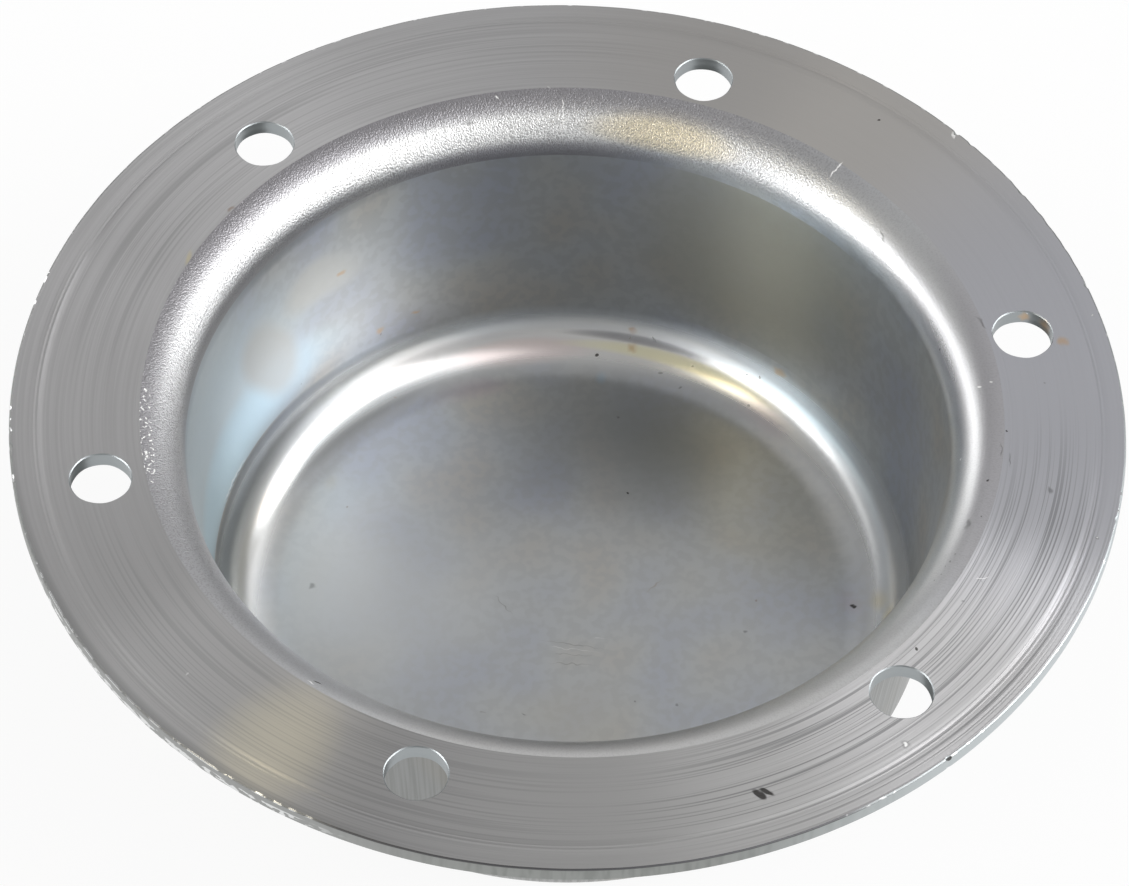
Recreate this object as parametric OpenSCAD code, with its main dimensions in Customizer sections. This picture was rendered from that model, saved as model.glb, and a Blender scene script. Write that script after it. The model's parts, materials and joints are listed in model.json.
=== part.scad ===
// Hub grease cap: one round of sheet steel, pressed into a drafted cup with a
// flat bolting flange, whose sealing face is turned after pressing.
// The origin is the centre of the bolt circle on the sealing face. +Z points
// out of the mouth of the cup, and +X passes through a bolt hole.

/* [Sheet] */
// Thickness of the sheet that the cap is pressed from
sheet_t = 2.65; // [2:0.05:3.4]
// Depth turned off the flange to make the sealing face
face_cut = 0.15; // [0.05:0.01:0.5]

/* [Bolting flange] */
// Diameter of the bolt circle
bolt_circle_d = 139.7; // [110:0.1:180]
// Number of bolt holes
bolt_count = 6; // [3:1:12]
// Diameter of a bolt hole
bolt_hole_d = 9; // [6:0.1:11]
// Distance from the bolt circle out to the rim
rim_margin = 12.65; // [8:0.05:30]
// Distance from the bolt circle in to the start of the bend
bend_margin = 4.45; // [3:0.05:20]
// Width of the bevel on both edges of the rim
rim_bevel = 0.3; // [0.1:0.05:0.8]

/* [Cup] */
// Depth of the cup from the sealing face to its floor
cup_depth = 48.2; // [30:0.1:70]
// Draft of the wall, which narrows the cup towards its floor
wall_draft = 5.6; // [2:0.1:10]
// Radius of the bend at the mouth, on the side that shows
bend_r = 8.5; // [5:0.1:14]
// Radius of the fillet between the wall and the floor, inside the cup
floor_fillet_r = 10; // [4:0.1:14]

/* [Hidden] */
$fn = 180;

sheet_colour = [0.67, 0.68, 0.67];
// Distance that a cutting shape runs past the face that it leaves by
run_out = 1;
// Sink of each arc into the faces that it blends, so that they cross cleanly
arc_sink = 0.001;

flange_t = sheet_t - face_cut;
rim_r = bolt_circle_d / 2 + rim_margin;

// Centre of the bend's arc, which was level with the flange before turning
bend_centre = [bolt_circle_d / 2 - bend_margin, face_cut - bend_r];

// Unit direction from the inner face of the wall to its outer face
wall_out = [cos(wall_draft), -sin(wall_draft)];

// The wall runs straight from the bend, and the fillet's arc is tangent to
// the wall and to the floor
wall_top = bend_centre - bend_r * wall_out;
fillet_z = floor_fillet_r - cup_depth;
floor_r = wall_top[0] - (wall_top[1] - fillet_z) * tan(wall_draft)
    - floor_fillet_r / cos(wall_draft);
fillet_centre = [floor_r, fillet_z];
wall_foot = fillet_centre + floor_fillet_r * wall_out;

// Half section of the space in the cup up to a level, grown outwards from the
// cup's inner surface: with no growth it is the punch, with a sheet it is the die
module cup_form(growth, level) {
    difference() {
        union() {
            polygon([
                [0, -cup_depth - growth],
                [floor_r, -cup_depth - growth],
                wall_foot + growth * wall_out,
                wall_top + growth * wall_out,
                bend_centre,
                [bend_centre[0], level],
                [0, level],
            ]);
            translate(fillet_centre)
                circle(r = floor_fillet_r + growth + arc_sink);
        }
        translate(bend_centre)
            circle(r = bend_r - growth + arc_sink);
    }
}

// Half section of the flange as a full disc, with a bevel on both edges
module flange_section() {
    polygon([
        [0, -flange_t],
        [rim_r - rim_bevel, -flange_t],
        [rim_r, rim_bevel - flange_t],
        [rim_r, -rim_bevel],
        [rim_r - rim_bevel, 0],
        [0, 0],
    ]);
}

// Half section of the pressing, one sheet thick from the floor to the flange
module pressing_section() {
    difference() {
        union() {
            cup_form(sheet_t, -flange_t / 2);
            flange_section();
        }
        cup_form(0, run_out);
    }
}

// Bolt holes, drilled straight through the flange
module bolt_holes() {
    for (i = [0 : bolt_count - 1])
        rotate(i * 360 / bolt_count)
            translate([bolt_circle_d / 2, 0, -flange_t - run_out])
                cylinder(d = bolt_hole_d, h = flange_t + 2 * run_out);
}

module grease_cap() {
    color(sheet_colour)
        difference() {
            rotate_extrude()
                pressing_section();
            bolt_holes();
        }
}

grease_cap();
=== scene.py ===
"""Looks of a hub grease cap: a pressed, zinc plated cup whose bolting flange is turned flat.

The shell is one surface of revolution, worked out on grids of profile and turn, with the bolt
holes let into the flange as rings of their own.  Lengths are in metres and angles in radians,
and the origin is the centre of the bolt circle on the turned face, with +Z out of the mouth.
"""

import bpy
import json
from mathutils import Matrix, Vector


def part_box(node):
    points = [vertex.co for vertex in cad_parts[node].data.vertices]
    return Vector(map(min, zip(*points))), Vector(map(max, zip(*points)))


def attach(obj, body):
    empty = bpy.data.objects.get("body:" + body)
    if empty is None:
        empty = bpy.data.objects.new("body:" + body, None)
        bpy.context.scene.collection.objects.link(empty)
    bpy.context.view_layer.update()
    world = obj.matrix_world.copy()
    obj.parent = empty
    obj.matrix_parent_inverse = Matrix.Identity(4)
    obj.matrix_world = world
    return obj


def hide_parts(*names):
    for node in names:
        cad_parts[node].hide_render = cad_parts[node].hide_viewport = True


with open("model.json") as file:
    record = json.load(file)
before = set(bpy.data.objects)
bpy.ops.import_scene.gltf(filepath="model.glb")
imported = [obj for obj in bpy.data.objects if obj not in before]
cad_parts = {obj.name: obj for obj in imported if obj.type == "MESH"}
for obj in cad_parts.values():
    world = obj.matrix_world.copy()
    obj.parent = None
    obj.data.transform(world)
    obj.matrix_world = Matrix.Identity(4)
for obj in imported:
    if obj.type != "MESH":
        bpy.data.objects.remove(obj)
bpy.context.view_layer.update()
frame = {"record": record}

import json
import logging
from dataclasses import dataclass, field
from enum import Enum
from math import atan2, cos, pi, radians, sin, tan
from typing import ClassVar

import bpy
import numpy as np
from mathutils import Matrix, Vector

NODE = "grease_cap"
BODY = "root"
MM = 0.001
NOISE_MIDDLE = 0.5

Pair = tuple[float, float]
Colour = tuple[float, float, float]
Socket = bpy.types.NodeSocket

WHITE: Colour = (1.0, 1.0, 1.0)

log = logging.getLogger("grease_cap")


class Finish(Enum):
    """The finishes of the cap, in the order of the mesh's material slots."""

    TURNED = 0
    LIP = 1
    WALL = 2
    FLOOR = 3
    OUTSIDE = 4
    CUT = 5


@dataclass(frozen=True)
class CapSizes:
    """Sizes of the pressing: the outer ones come from the frame, the sheet's own are named here."""

    rim_r: float
    height: float
    bolt_r: float
    hole_r: float
    hole_count: int
    sheet: float = 2.65 * MM
    face_cut: float = 0.15 * MM
    bend_margin: float = 4.45 * MM
    bend_r: float = 8.5 * MM
    draft: float = radians(5.6)
    fillet_r: float = 10.0 * MM
    rim_bevel: float = 0.3 * MM
    level: float = 0.01 * MM

    @property
    def flange(self) -> float:
        """Thickness of the turned flange."""
        return self.sheet - self.face_cut

    @property
    def depth(self) -> float:
        """Depth of the cup from the turned face to its floor."""
        return self.height - self.sheet

    @property
    def bend_centre(self) -> np.ndarray:
        """Centre of the bend's arc, as radius and height."""
        return np.array([self.bolt_r - self.bend_margin, self.face_cut - self.bend_r])

    @property
    def wall_out(self) -> np.ndarray:
        """Unit direction from the wall's inner face to its outer face."""
        return np.array([cos(self.draft), -sin(self.draft)])

    @property
    def wall_top(self) -> np.ndarray:
        """Inner end of the wall at the bend."""
        return self.bend_centre - self.bend_r * self.wall_out

    @property
    def fillet_centre(self) -> np.ndarray:
        """Centre of the fillet's arc, tangent to the wall and to the floor.

        Returns:
            Radius and height of the centre.
        """
        height = self.fillet_r - self.depth
        fall = (self.wall_top[1] - height) * tan(self.draft)
        return np.array([self.wall_top[0] - fall - self.fillet_r / cos(self.draft), height])

    @property
    def wall_foot(self) -> np.ndarray:
        """Inner end of the wall at the fillet."""
        return self.fillet_centre + self.fillet_r * self.wall_out

    def slope_at(self, radius: float, height: float) -> float:
        """Slope of the inner surface, from the outward direction towards +Z.

        Args:
            radius: Distance from the axis.
            height: Height below or on the turned face.

        Returns:
            Angle, nil on the floor and on the face, and nearly upright on the wall.
        """
        if height < self.level - self.depth or height > -self.level:
            return 0.0
        if height < self.wall_foot[1]:
            return atan2(height - self.fillet_centre[1], radius - self.fillet_centre[0]) + pi / 2
        if height < self.wall_top[1]:
            return pi / 2 - self.draft
        return atan2(height - self.bend_centre[1], radius - self.bend_centre[0]) - pi / 2


def read_sizes() -> CapSizes:
    """Takes the cap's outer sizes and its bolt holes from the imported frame.

    Returns:
        The sizes that every piece of the shell is worked out from.
    """
    low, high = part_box(NODE)
    bolts = next(m for m in frame["record"]["mounts"] if m["kind"] == "bolt_pattern")
    return CapSizes(
        rim_r=high.x,
        height=high.z - low.z,
        bolt_r=bolts["dims"]["pcd_mm"] * MM / 2,
        hole_r=bolts["dims"]["hole_r_mm"] * MM,
        hole_count=bolts["dims"]["count"],
    )


@dataclass(frozen=True)
class Nick:
    """A small bite out of the rim, in degrees of turn and millimetres."""

    name: str
    turn: float
    half_width: float
    depth: float


@dataclass(frozen=True)
class RimWear:
    """How far the sheared rim falls short of its circle: a ragged stretch and single nicks.

    The shortfall is full at the upper edge, and only the side's share of it reaches the side.
    """

    ragged_turn: float = 17.0
    ragged_half: float = 15.0
    ragged_depth: float = 0.16 * MM
    waver: float = 0.025 * MM
    side_share: float = 0.3
    nicks: tuple[Nick, ...] = (
        Nick("chipped nick", 30.4, 0.45, 0.55),
        Nick("notch below the chip", 28.2, 0.5, 0.22),
        Nick("ragged bite", 19.6, 0.7, 0.30),
        Nick("bite near the first hole", 5.2, 0.5, 0.30),
        Nick("left nick", 171.9, 0.4, 0.22),
        Nick("lower left nick", 174.0, 0.5, 0.20),
        Nick("small left nick", 178.8, 0.4, 0.15),
        Nick("near nick", -62.2, 0.4, 0.30),
        Nick("right nick", -26.5, 0.4, 0.18),
    )

    def depth_at(self, turn: np.ndarray) -> np.ndarray:
        """Works out the rim's shortfall, which is never below nil.

        The waver is w (1 + sin(23a) sin(37a + 0.7)), and the raggedness is
        d f (sin(57a)^2 + sin(91a + 0.4)^2) / 2, where f fades as a cosine square towards the
        ends of the stretch; a nick is its depth times the same fade over its own width.

        Args:
            turn: Angles about the axis.

        Returns:
            Depths in metres.
        """
        depth = self.waver * (1.0 + np.sin(23 * turn) * np.sin(37 * turn + 0.7))
        fade = self.fade(turn, self.ragged_turn, self.ragged_half)
        depth += self.ragged_depth * fade * (np.sin(57 * turn) ** 2 + np.sin(91 * turn + 0.4) ** 2) / 2
        for nick in self.nicks:
            depth += nick.depth * MM * self.fade(turn, nick.turn, nick.half_width)
        return depth

    @staticmethod
    def fade(turn: np.ndarray, middle: float, half: float) -> np.ndarray:
        """Cosine-square fade from 1 in the middle to 0 at both ends.

        Args:
            turn: Angles about the axis.
            middle: Angle of the middle, in degrees.
            half: Half the stretch, in degrees.

        Returns:
            Shares from 0 to 1.
        """
        away = np.angle(np.exp(1j * (turn - radians(middle)))) / radians(half)
        return np.where(np.abs(away) < 1.0, np.cos(np.clip(away, -1.0, 1.0) * pi / 2) ** 2, 0.0)


@dataclass(frozen=True)
class Mesh:
    """One welded surface: its points, its polygons as lists of point numbers, and their finishes."""

    points: np.ndarray
    polygons: list[list[int]]
    finishes: np.ndarray


def line(start: np.ndarray, end: np.ndarray, steps: int) -> np.ndarray:
    """Straight stretch of a profile: start + t (end - start), for t from 0 to 1.

    Args:
        start: Radius and height of its first point.
        end: Radius and height of its last point.
        steps: Number of equal steps.

    Returns:
        Array of steps + 1 points.
    """
    share = np.linspace(0.0, 1.0, steps + 1)[:, None]
    return np.asarray(start) + share * (np.asarray(end) - np.asarray(start))


def arc(centre: np.ndarray, radius: float, start: float, end: float, steps: int) -> np.ndarray:
    """Round stretch of a profile: centre + radius (cos a, sin a), for a from start to end.

    Args:
        centre: Radius and height of the arc's centre.
        radius: Radius of the arc.
        start: First angle, from the outward direction towards +Z.
        end: Last angle.
        steps: Number of equal steps.

    Returns:
        Array of steps + 1 points.
    """
    angle = np.linspace(start, end, steps + 1)
    return np.asarray(centre) + radius * np.stack([np.cos(angle), np.sin(angle)], axis=1)


def grid_quads(rows: int, columns: int) -> np.ndarray:
    """Numbers the quads of a grid whose points run along its columns first.

    Args:
        rows: Number of rows of points.
        columns: Number of points in a row.

    Returns:
        Array of (rows - 1)(columns - 1) quads of four point numbers.
    """
    index = np.arange(rows * columns).reshape(rows, columns)
    return np.stack(
        [index[:-1, :-1], index[:-1, 1:], index[1:, 1:], index[1:, :-1]], axis=-1
    ).reshape(-1, 4)


class ShellBuilder:
    """Collects the grids of the shell and welds them into one closed mesh."""

    WELD = 1e-7

    def __init__(self) -> None:
        """Starts with no grid."""
        self.points: list[np.ndarray] = []
        self.polygons: list[np.ndarray] = []
        self.finishes: list[np.ndarray] = []
        self.count = 0

    def add(self, surface: np.ndarray, finish: Finish, flip: bool = False) -> None:
        """Adds one grid.

        Args:
            surface: Points of the grid, rows by columns by three.
            finish: Finish of all its faces.
            flip: Whether the grid's faces are turned round.
        """
        rows, columns = surface.shape[:2]
        self.take(surface.reshape(-1, 3), grid_quads(rows, columns), finish, flip)

    def add_fans(self, coarse: np.ndarray, fine: np.ndarray, finish: Finish, flip: bool = False) -> None:
        """Adds a ring of faces that joins a coarse circle of points to a finer one.

        Args:
            coarse: Closed circle of points.
            fine: Closed circle with a whole number of steps for each step of the coarse one.
            finish: Finish of all its faces.
            flip: Whether the faces are turned round.
        """
        steps = len(coarse) - 1
        share = (len(fine) - 1) // steps
        first = np.arange(steps)[:, None]
        outer = len(coarse) + first * share + np.arange(share, -1, -1)
        fans = np.concatenate([first, first + 1, outer], axis=1)
        self.take(np.concatenate([coarse, fine]), fans, finish, flip)

    def take(self, points: np.ndarray, polygons: np.ndarray, finish: Finish, flip: bool) -> None:
        """Keeps points and polygons, numbered on from those already kept.

        Args:
            points: The points, one a row.
            polygons: The point numbers of a polygon in each row.
            finish: Finish of all its faces.
            flip: Whether the faces are turned round.
        """
        self.points.append(points)
        self.polygons.append((polygons[:, ::-1] if flip else polygons) + self.count)
        self.finishes.append(np.full(len(polygons), finish.value))
        self.count += len(points)

    def weld(self) -> Mesh:
        """Joins points that fall together, within the weld's distance.

        Returns:
            The mesh, with every point once and no point twice in a polygon.
        """
        points = np.concatenate(self.points)
        keys = np.round(points / self.WELD).astype(np.int64)
        _, first, number = np.unique(keys, axis=0, return_index=True, return_inverse=True)
        number = number.reshape(-1)
        polygons = [list(dict.fromkeys(face)) for grid in self.polygons for face in number[grid].tolist()]
        return Mesh(points[first], polygons, np.concatenate(self.finishes))


@dataclass
class GreaseCap:
    """The pressed cap: builds its shell from the section and lets the bolt holes into it.

    The bevel's knee is a pair of shares of the bevel, inwards and down.  The rows of the tool's
    step are pairs of a distance in millimetres and a share of the step's depth, and the tear of
    a punched hole is pairs of a depth and the amount that the hole is wider there.
    """

    sizes: CapSizes
    wear: RimWear = RimWear()
    floor_steps: int = 12
    fillet_steps: int = 20
    wall_steps: int = 10
    bend_steps: int = 20
    outer_bend_steps: int = 9
    outer_wall_steps: int = 6
    outer_corner_steps: int = 14
    outer_floor_steps: int = 6
    turns_per_hole: int = 80
    turns_across_hole: int = 16
    rows_across_hole: int = 16
    rows_round_hole: int = 8
    row_growth: float = 1.3
    rim_steps_per_turn: int = 3
    hole_patch_outer: float = 76.5 * MM
    hole_patch_inner: float = 63.9 * MM
    hole_deburr: float = 0.15 * MM
    hole_waver: float = 0.05 * MM
    hole_tear: tuple[Pair, ...] = (
        (0.9 * MM, 0.0), (1.3 * MM, 0.05 * MM), (1.9 * MM, 0.06 * MM),
    )
    face_edge_mean: float = 63.95 * MM
    face_edge_swing: float = 0.70 * MM
    face_edge_turn: float = radians(20.0)
    tool_offset: float = 0.25 * MM
    tool_step_r: float = 78.60 * MM
    tool_step_depth: float = 0.05 * MM
    tool_step_rows: tuple[Pair, ...] = (
        (-0.24, 0.0), (-0.10, 1.0), (0.06, 1.0), (0.20, 0.0),
        (0.38, 0.0), (0.50, 0.7), (0.64, 0.7), (0.80, 0.0),
    )
    rows_to_rim: tuple[float, ...] = (0.4, 1.0)
    fan_width: float = 0.7 * MM
    under_fan_width: float = 1.5 * MM
    bevel_knee: Pair = (0.3, 0.35)
    side_top: float = 0.15 * MM
    side_middle: float = 0.55
    columns: int = field(init=False)

    def __post_init__(self) -> None:
        """Works out the number of steps in a whole turn."""
        self.columns = self.turns_per_hole * self.sizes.hole_count

    def turn_angles(self, share: int = 1) -> np.ndarray:
        """Angles of the columns of a whole turn, closed, each split into a share of finer ones."""
        return np.linspace(0.0, 2 * pi, self.columns * share + 1)

    def face_edge(self, turn: np.ndarray) -> np.ndarray:
        """Radius of the border between the turned face and the bend, at each angle."""
        return self.face_edge_mean + self.face_edge_swing * np.cos(turn - self.face_edge_turn)

    def face_cut_at(self, turn: np.ndarray) -> np.ndarray:
        """Depth turned off the sheet at each angle, because the cup sits slightly askew in the lathe.

        The face meets the bend where the arc's height is nil: at a radius e short of the arc's
        centre ring, the depth is bend_r - sqrt(bend_r^2 - e^2).

        Args:
            turn: Angles about the axis.

        Returns:
            Depths in metres.
        """
        short = self.sizes.bend_centre[0] - self.face_edge(turn)
        return self.sizes.bend_r - np.sqrt(self.sizes.bend_r**2 - short**2)

    def revolve(self, profile: np.ndarray) -> np.ndarray:
        """Turns a profile about the axis: (r cos a, r sin a, z) for every angle a.

        Args:
            profile: Radius and height of its points.

        Returns:
            Grid of profile points by columns.
        """
        return self.sweep(profile[:, :1], profile[:, 1:], self.turn_angles())

    @staticmethod
    def sweep(radius: np.ndarray, height: np.ndarray, turn: np.ndarray) -> np.ndarray:
        """Grid of points from radii and heights that may differ from column to column.

        Args:
            radius: Radii, rows by one or by columns.
            height: Heights, rows by one or by columns.
            turn: Angles of the columns.

        Returns:
            Grid of rows by columns by three.
        """
        flat = np.broadcast_to(height, np.broadcast_shapes(radius.shape, height.shape, turn.shape))
        return np.stack([radius * np.cos(turn), radius * np.sin(turn), flat], axis=-1)

    def circle(self, radius: float, height: float, turn: np.ndarray) -> np.ndarray:
        """Row of points on one circle about the axis, at the given angles."""
        return self.sweep(np.array([[radius]]), np.array([[height]]), turn)[0]

    def inside(self, shell: ShellBuilder) -> None:
        """Adds the floor, the fillet, the wall and the bend, as seen from the mouth.

        Args:
            shell: The shell that takes the grids.
        """
        s = self.sizes
        floor = line([0.0, -s.depth], [s.fillet_centre[0], -s.depth], self.floor_steps)
        fillet = arc(s.fillet_centre, s.fillet_r, -pi / 2, -s.draft, self.fillet_steps)
        wall = line(s.wall_foot, s.wall_top, self.wall_steps)
        shell.add(self.revolve(floor), Finish.FLOOR, flip=True)
        shell.add(self.revolve(fillet), Finish.FLOOR, flip=True)
        shell.add(self.revolve(wall), Finish.WALL, flip=True)
        shell.add(self.bend_surface(), Finish.LIP, flip=True)

    def bend_surface(self) -> np.ndarray:
        """Bend from the wall up to the turned face, whose border wanders with the depth of cut.

        Each column is the arc's circle, from the tangent of the wall to the height of the face;
        the arc is lifted by the column's own depth of cut, and the lift fades to nil at the wall.

        Returns:
            Grid of arc points by columns.
        """
        s = self.sizes
        turn = self.turn_angles()
        cut = self.face_cut_at(turn)
        last = np.arccos((s.bend_r - cut) / s.bend_r)
        share = np.linspace(0.0, 1.0, self.bend_steps + 1)[:, None]
        angle = (pi / 2 - s.draft) + share * (last - (pi / 2 - s.draft))
        radius = s.bend_centre[0] - s.bend_r * np.sin(angle)
        height = s.bend_centre[1] + s.bend_r * np.cos(angle) + (cut - s.face_cut) * share**2
        height[-1] = 0.0
        return self.sweep(radius, height, turn)

    def under_height(self, radius: np.ndarray) -> np.ndarray:
        """Height of the underside: flat under the flange, and the bend's outer arc inside its ring.

        The arc's height is that of its centre plus sqrt(u^2 - i^2), for its radius u and the
        distance i that a point lies inside the centre's ring.

        Args:
            radius: Distances from the axis.

        Returns:
            Heights of the same shape.
        """
        s = self.sizes
        under_r = s.bend_r - s.sheet
        inside = np.clip(s.bend_centre[0] - radius, 0.0, under_r)
        return s.bend_centre[1] + np.sqrt(under_r**2 - inside**2)

    def flange_plan(self, turn: np.ndarray, top: bool) -> np.ndarray:
        """Plan grid of the flange from its inner border out to the holes' outer border.

        Args:
            turn: Angles of the columns.
            top: Whether this is the turned face, and not the underside.

        Returns:
            Grid of rows by columns by two.
        """
        share = np.linspace(0.0, 1.0, self.rows_across_hole + 1)[:, None]
        inner = self.face_edge(turn) if top else np.full_like(turn, self.hole_patch_inner)
        radius = inner + share * (self.hole_patch_outer - inner)
        return np.stack([radius * np.cos(turn), radius * np.sin(turn)], axis=-1)

    def lift(self, plan: np.ndarray, top: bool) -> np.ndarray:
        """Gives a plan grid its height: the turned face at nil, the underside on its own form.

        Args:
            plan: Points in plan, with two numbers each.
            top: Whether this is the turned face, and not the underside.

        Returns:
            The same points with three numbers each.
        """
        radius = np.linalg.norm(plan, axis=-1)
        height = np.zeros_like(radius) if top else self.under_height(radius)
        return np.concatenate([plan, height[..., None]], axis=-1)

    def flange_side(self, shell: ShellBuilder, top: bool) -> None:
        """Adds one side of the flange: plain patches between the holes, and rings round them.

        Args:
            shell: The shell that takes the grids.
            top: Whether this is the turned face, and not the underside.
        """
        half = self.turns_across_hole // 2
        step = 2 * pi / self.columns
        finish = Finish.TURNED if top else Finish.OUTSIDE
        for number in range(self.sizes.hole_count):
            centre = number * 2 * pi / self.sizes.hole_count
            plain = np.arange(half, self.turns_per_hole - half + 1) * step + centre
            shell.add(self.lift(self.flange_plan(plain, top), top), finish, flip=top)
            border = self.hole_border(centre, top)
            edge = self.hole_edge(border, centre, self.hole_deburr if top else 0.0)
            share = np.linspace(0.0, 1.0, self.rows_round_hole + 1)[:, None, None] ** self.row_growth
            shell.add(self.lift(edge + share * (border - edge), top), finish, flip=not top)

    def hole_border(self, centre: float, top: bool) -> np.ndarray:
        """Closed border of the patch that a bolt hole lies in, in plan.

        Args:
            centre: Angle of the hole about the axis.
            top: Whether this is the turned face, and not the underside.

        Returns:
            Closed ring of points with two numbers each.
        """
        half = self.turns_across_hole // 2
        turn = np.arange(-half, half + 1) * 2 * pi / self.columns + centre
        patch = self.flange_plan(turn, top)
        return np.concatenate([patch[0, :-1], patch[:-1, -1], patch[-1, :0:-1], patch[::-1, 0]])

    def hole_edge(self, border: np.ndarray, centre: float, wider: float) -> np.ndarray:
        """Edge of a punched hole, with a point on its circle towards each point of the border.

        The punch leaves a slight waver w (sin(3a + c) + sin(7a + 2c)) / 2 on the radius, where a
        is the angle round the hole and c the hole's own angle about the axis.

        Args:
            border: Closed border of the hole's patch.
            centre: Angle of the hole about the axis.
            wider: Amount that the edge lies outside the hole's radius.

        Returns:
            Closed plan ring with one point for each border point.
        """
        middle = self.sizes.bolt_r * np.array([cos(centre), sin(centre)])
        outward = border - middle
        outward /= np.linalg.norm(outward, axis=1, keepdims=True)
        angle = np.arctan2(outward[:, 1], outward[:, 0])
        waver = self.hole_waver * (np.sin(3 * angle + centre) + np.sin(7 * angle + 2 * centre)) / 2
        return middle + (self.sizes.hole_r + wider + waver)[:, None] * outward

    def hole_walls(self, shell: ShellBuilder) -> None:
        """Adds the bolt holes' walls, with the deburred edge above and the punch's tear below.

        Args:
            shell: The shell that takes the grids.
        """
        for number in range(self.sizes.hole_count):
            centre = number * 2 * pi / self.sizes.hole_count
            above = self.hole_border(centre, top=True)
            below = self.hole_border(centre, top=False)
            rings = [self.lift(self.hole_edge(above, centre, self.hole_deburr), True)]
            for depth, grow in ((self.hole_deburr, 0.0), *self.hole_tear):
                ring = self.lift(self.hole_edge(above, centre, grow), True)
                ring[:, 2] = -depth
                rings.append(ring)
            rings.append(self.lift(self.hole_edge(below, centre, 0.0), False))
            shell.add(np.stack(rings), Finish.CUT, flip=True)

    def outer_face(self, shell: ShellBuilder) -> None:
        """Adds the turned face outside the holes, with the step where the tool was set anew.

        The rows of the step run about the lathe's own centre, so their radius is
        r + offset cos(a - turn); all rows further out spread evenly to the rim's bevel.

        Args:
            shell: The shell that takes the grids.
        """
        s = self.sizes
        coarse = self.turn_angles()
        fine = self.turn_angles(self.rim_steps_per_turn)
        join_r = self.hole_patch_outer + self.fan_width
        away, sunk = np.array(self.tool_step_rows).T
        swing = self.tool_offset * np.cos(fine - self.face_edge_turn)
        step = self.tool_step_r + away[:, None] * MM + swing
        last = s.rim_r - s.rim_bevel - self.wear.depth_at(fine)
        beyond = step[-1] + np.array(self.rows_to_rim)[:, None] * (last - step[-1])
        radius = np.concatenate([np.full((1, len(fine)), join_r), step, beyond])
        level = np.zeros(len(self.rows_to_rim))
        height = np.concatenate([[0.0], -self.tool_step_depth * sunk, level])[:, None]
        inner = self.circle(self.hole_patch_outer, 0.0, coarse)
        shell.add_fans(inner, self.circle(join_r, 0.0, fine), Finish.TURNED, flip=True)
        shell.add(self.sweep(radius, height, fine), Finish.TURNED, flip=True)

    def rim(self, shell: ShellBuilder) -> None:
        """Adds the sheared rim's side, the bevels above and below it, and the underside next to it.

        Args:
            shell: The shell that takes the grids.
        """
        s = self.sizes
        coarse = self.turn_angles()
        fine = self.turn_angles(self.rim_steps_per_turn)
        short = self.wear.depth_at(fine)
        side = s.rim_r - self.wear.side_share * short
        inwards, down = self.bevel_knee
        radius = np.stack([
            s.rim_r - s.rim_bevel - short,
            s.rim_r - inwards * s.rim_bevel - short,
            side,
            side,
            side,
            side - s.rim_bevel,
        ])
        depth = np.array([
            0.0,
            down * s.rim_bevel,
            s.rim_bevel + self.side_top,
            self.side_middle * s.flange,
            s.flange - s.rim_bevel,
            s.flange,
        ])
        shell.add(self.sweep(radius, -depth[:, None], fine), Finish.CUT, flip=True)
        join_r = self.hole_patch_outer + self.under_fan_width
        inner = self.circle(self.hole_patch_outer, -s.flange, coarse)
        shell.add_fans(inner, self.circle(join_r, -s.flange, fine), Finish.OUTSIDE)
        under = np.stack([np.full_like(fine, join_r), side - s.rim_bevel])
        shell.add(self.sweep(under, np.full((1, 1), -s.flange), fine), Finish.OUTSIDE)

    def outside(self, shell: ShellBuilder) -> None:
        """Adds the outer bend, wall, corner and floor, as seen from below.

        Args:
            shell: The shell that takes the grids.
        """
        s = self.sizes
        under_r = s.bend_r - s.sheet
        first = pi / 2 + np.arcsin((s.bend_centre[0] - self.hole_patch_inner) / under_r)
        bend = arc(s.bend_centre, under_r, first, pi - s.draft, self.outer_bend_steps)
        bend[0] = [self.hole_patch_inner, self.under_height(np.array([self.hole_patch_inner]))[0]]
        out = s.sheet * s.wall_out
        wall = line(s.wall_top + out, s.wall_foot + out, self.outer_wall_steps)
        corner_r = s.fillet_r + s.sheet
        corner = arc(s.fillet_centre, corner_r, -s.draft, -pi / 2, self.outer_corner_steps)
        floor = line([s.fillet_centre[0], -s.height], [0.0, -s.height], self.outer_floor_steps)
        for profile in (bend, wall, corner, floor):
            shell.add(self.revolve(profile), Finish.OUTSIDE, flip=True)

    def build(self) -> bpy.types.Object:
        """Builds the whole shell as one closed mesh.

        Returns:
            The cap's object, at the origin.
        """
        shell = ShellBuilder()
        self.inside(shell)
        self.flange_side(shell, top=True)
        self.outer_face(shell)
        self.rim(shell)
        self.flange_side(shell, top=False)
        self.hole_walls(shell)
        self.outside(shell)
        return mesh_object("cap_shell", shell.weld())


def mesh_object(name: str, mesh: Mesh) -> bpy.types.Object:
    """Makes a smooth-shaded object of a welded mesh.

    Args:
        name: Name of the piece.
        mesh: Its points, polygons and finishes.

    Returns:
        The object, linked to the scene.
    """
    data = bpy.data.meshes.new(name)
    data.from_pydata(mesh.points.tolist(), [], mesh.polygons)
    data.polygons.foreach_set("material_index", mesh.finishes.astype(np.int32))
    data.polygons.foreach_set("use_smooth", np.ones(len(mesh.polygons), bool))
    data.update()
    sharpen(data, mesh.finishes)
    piece = bpy.data.objects.new(name, data)
    bpy.context.scene.collection.objects.link(piece)
    return piece


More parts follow.
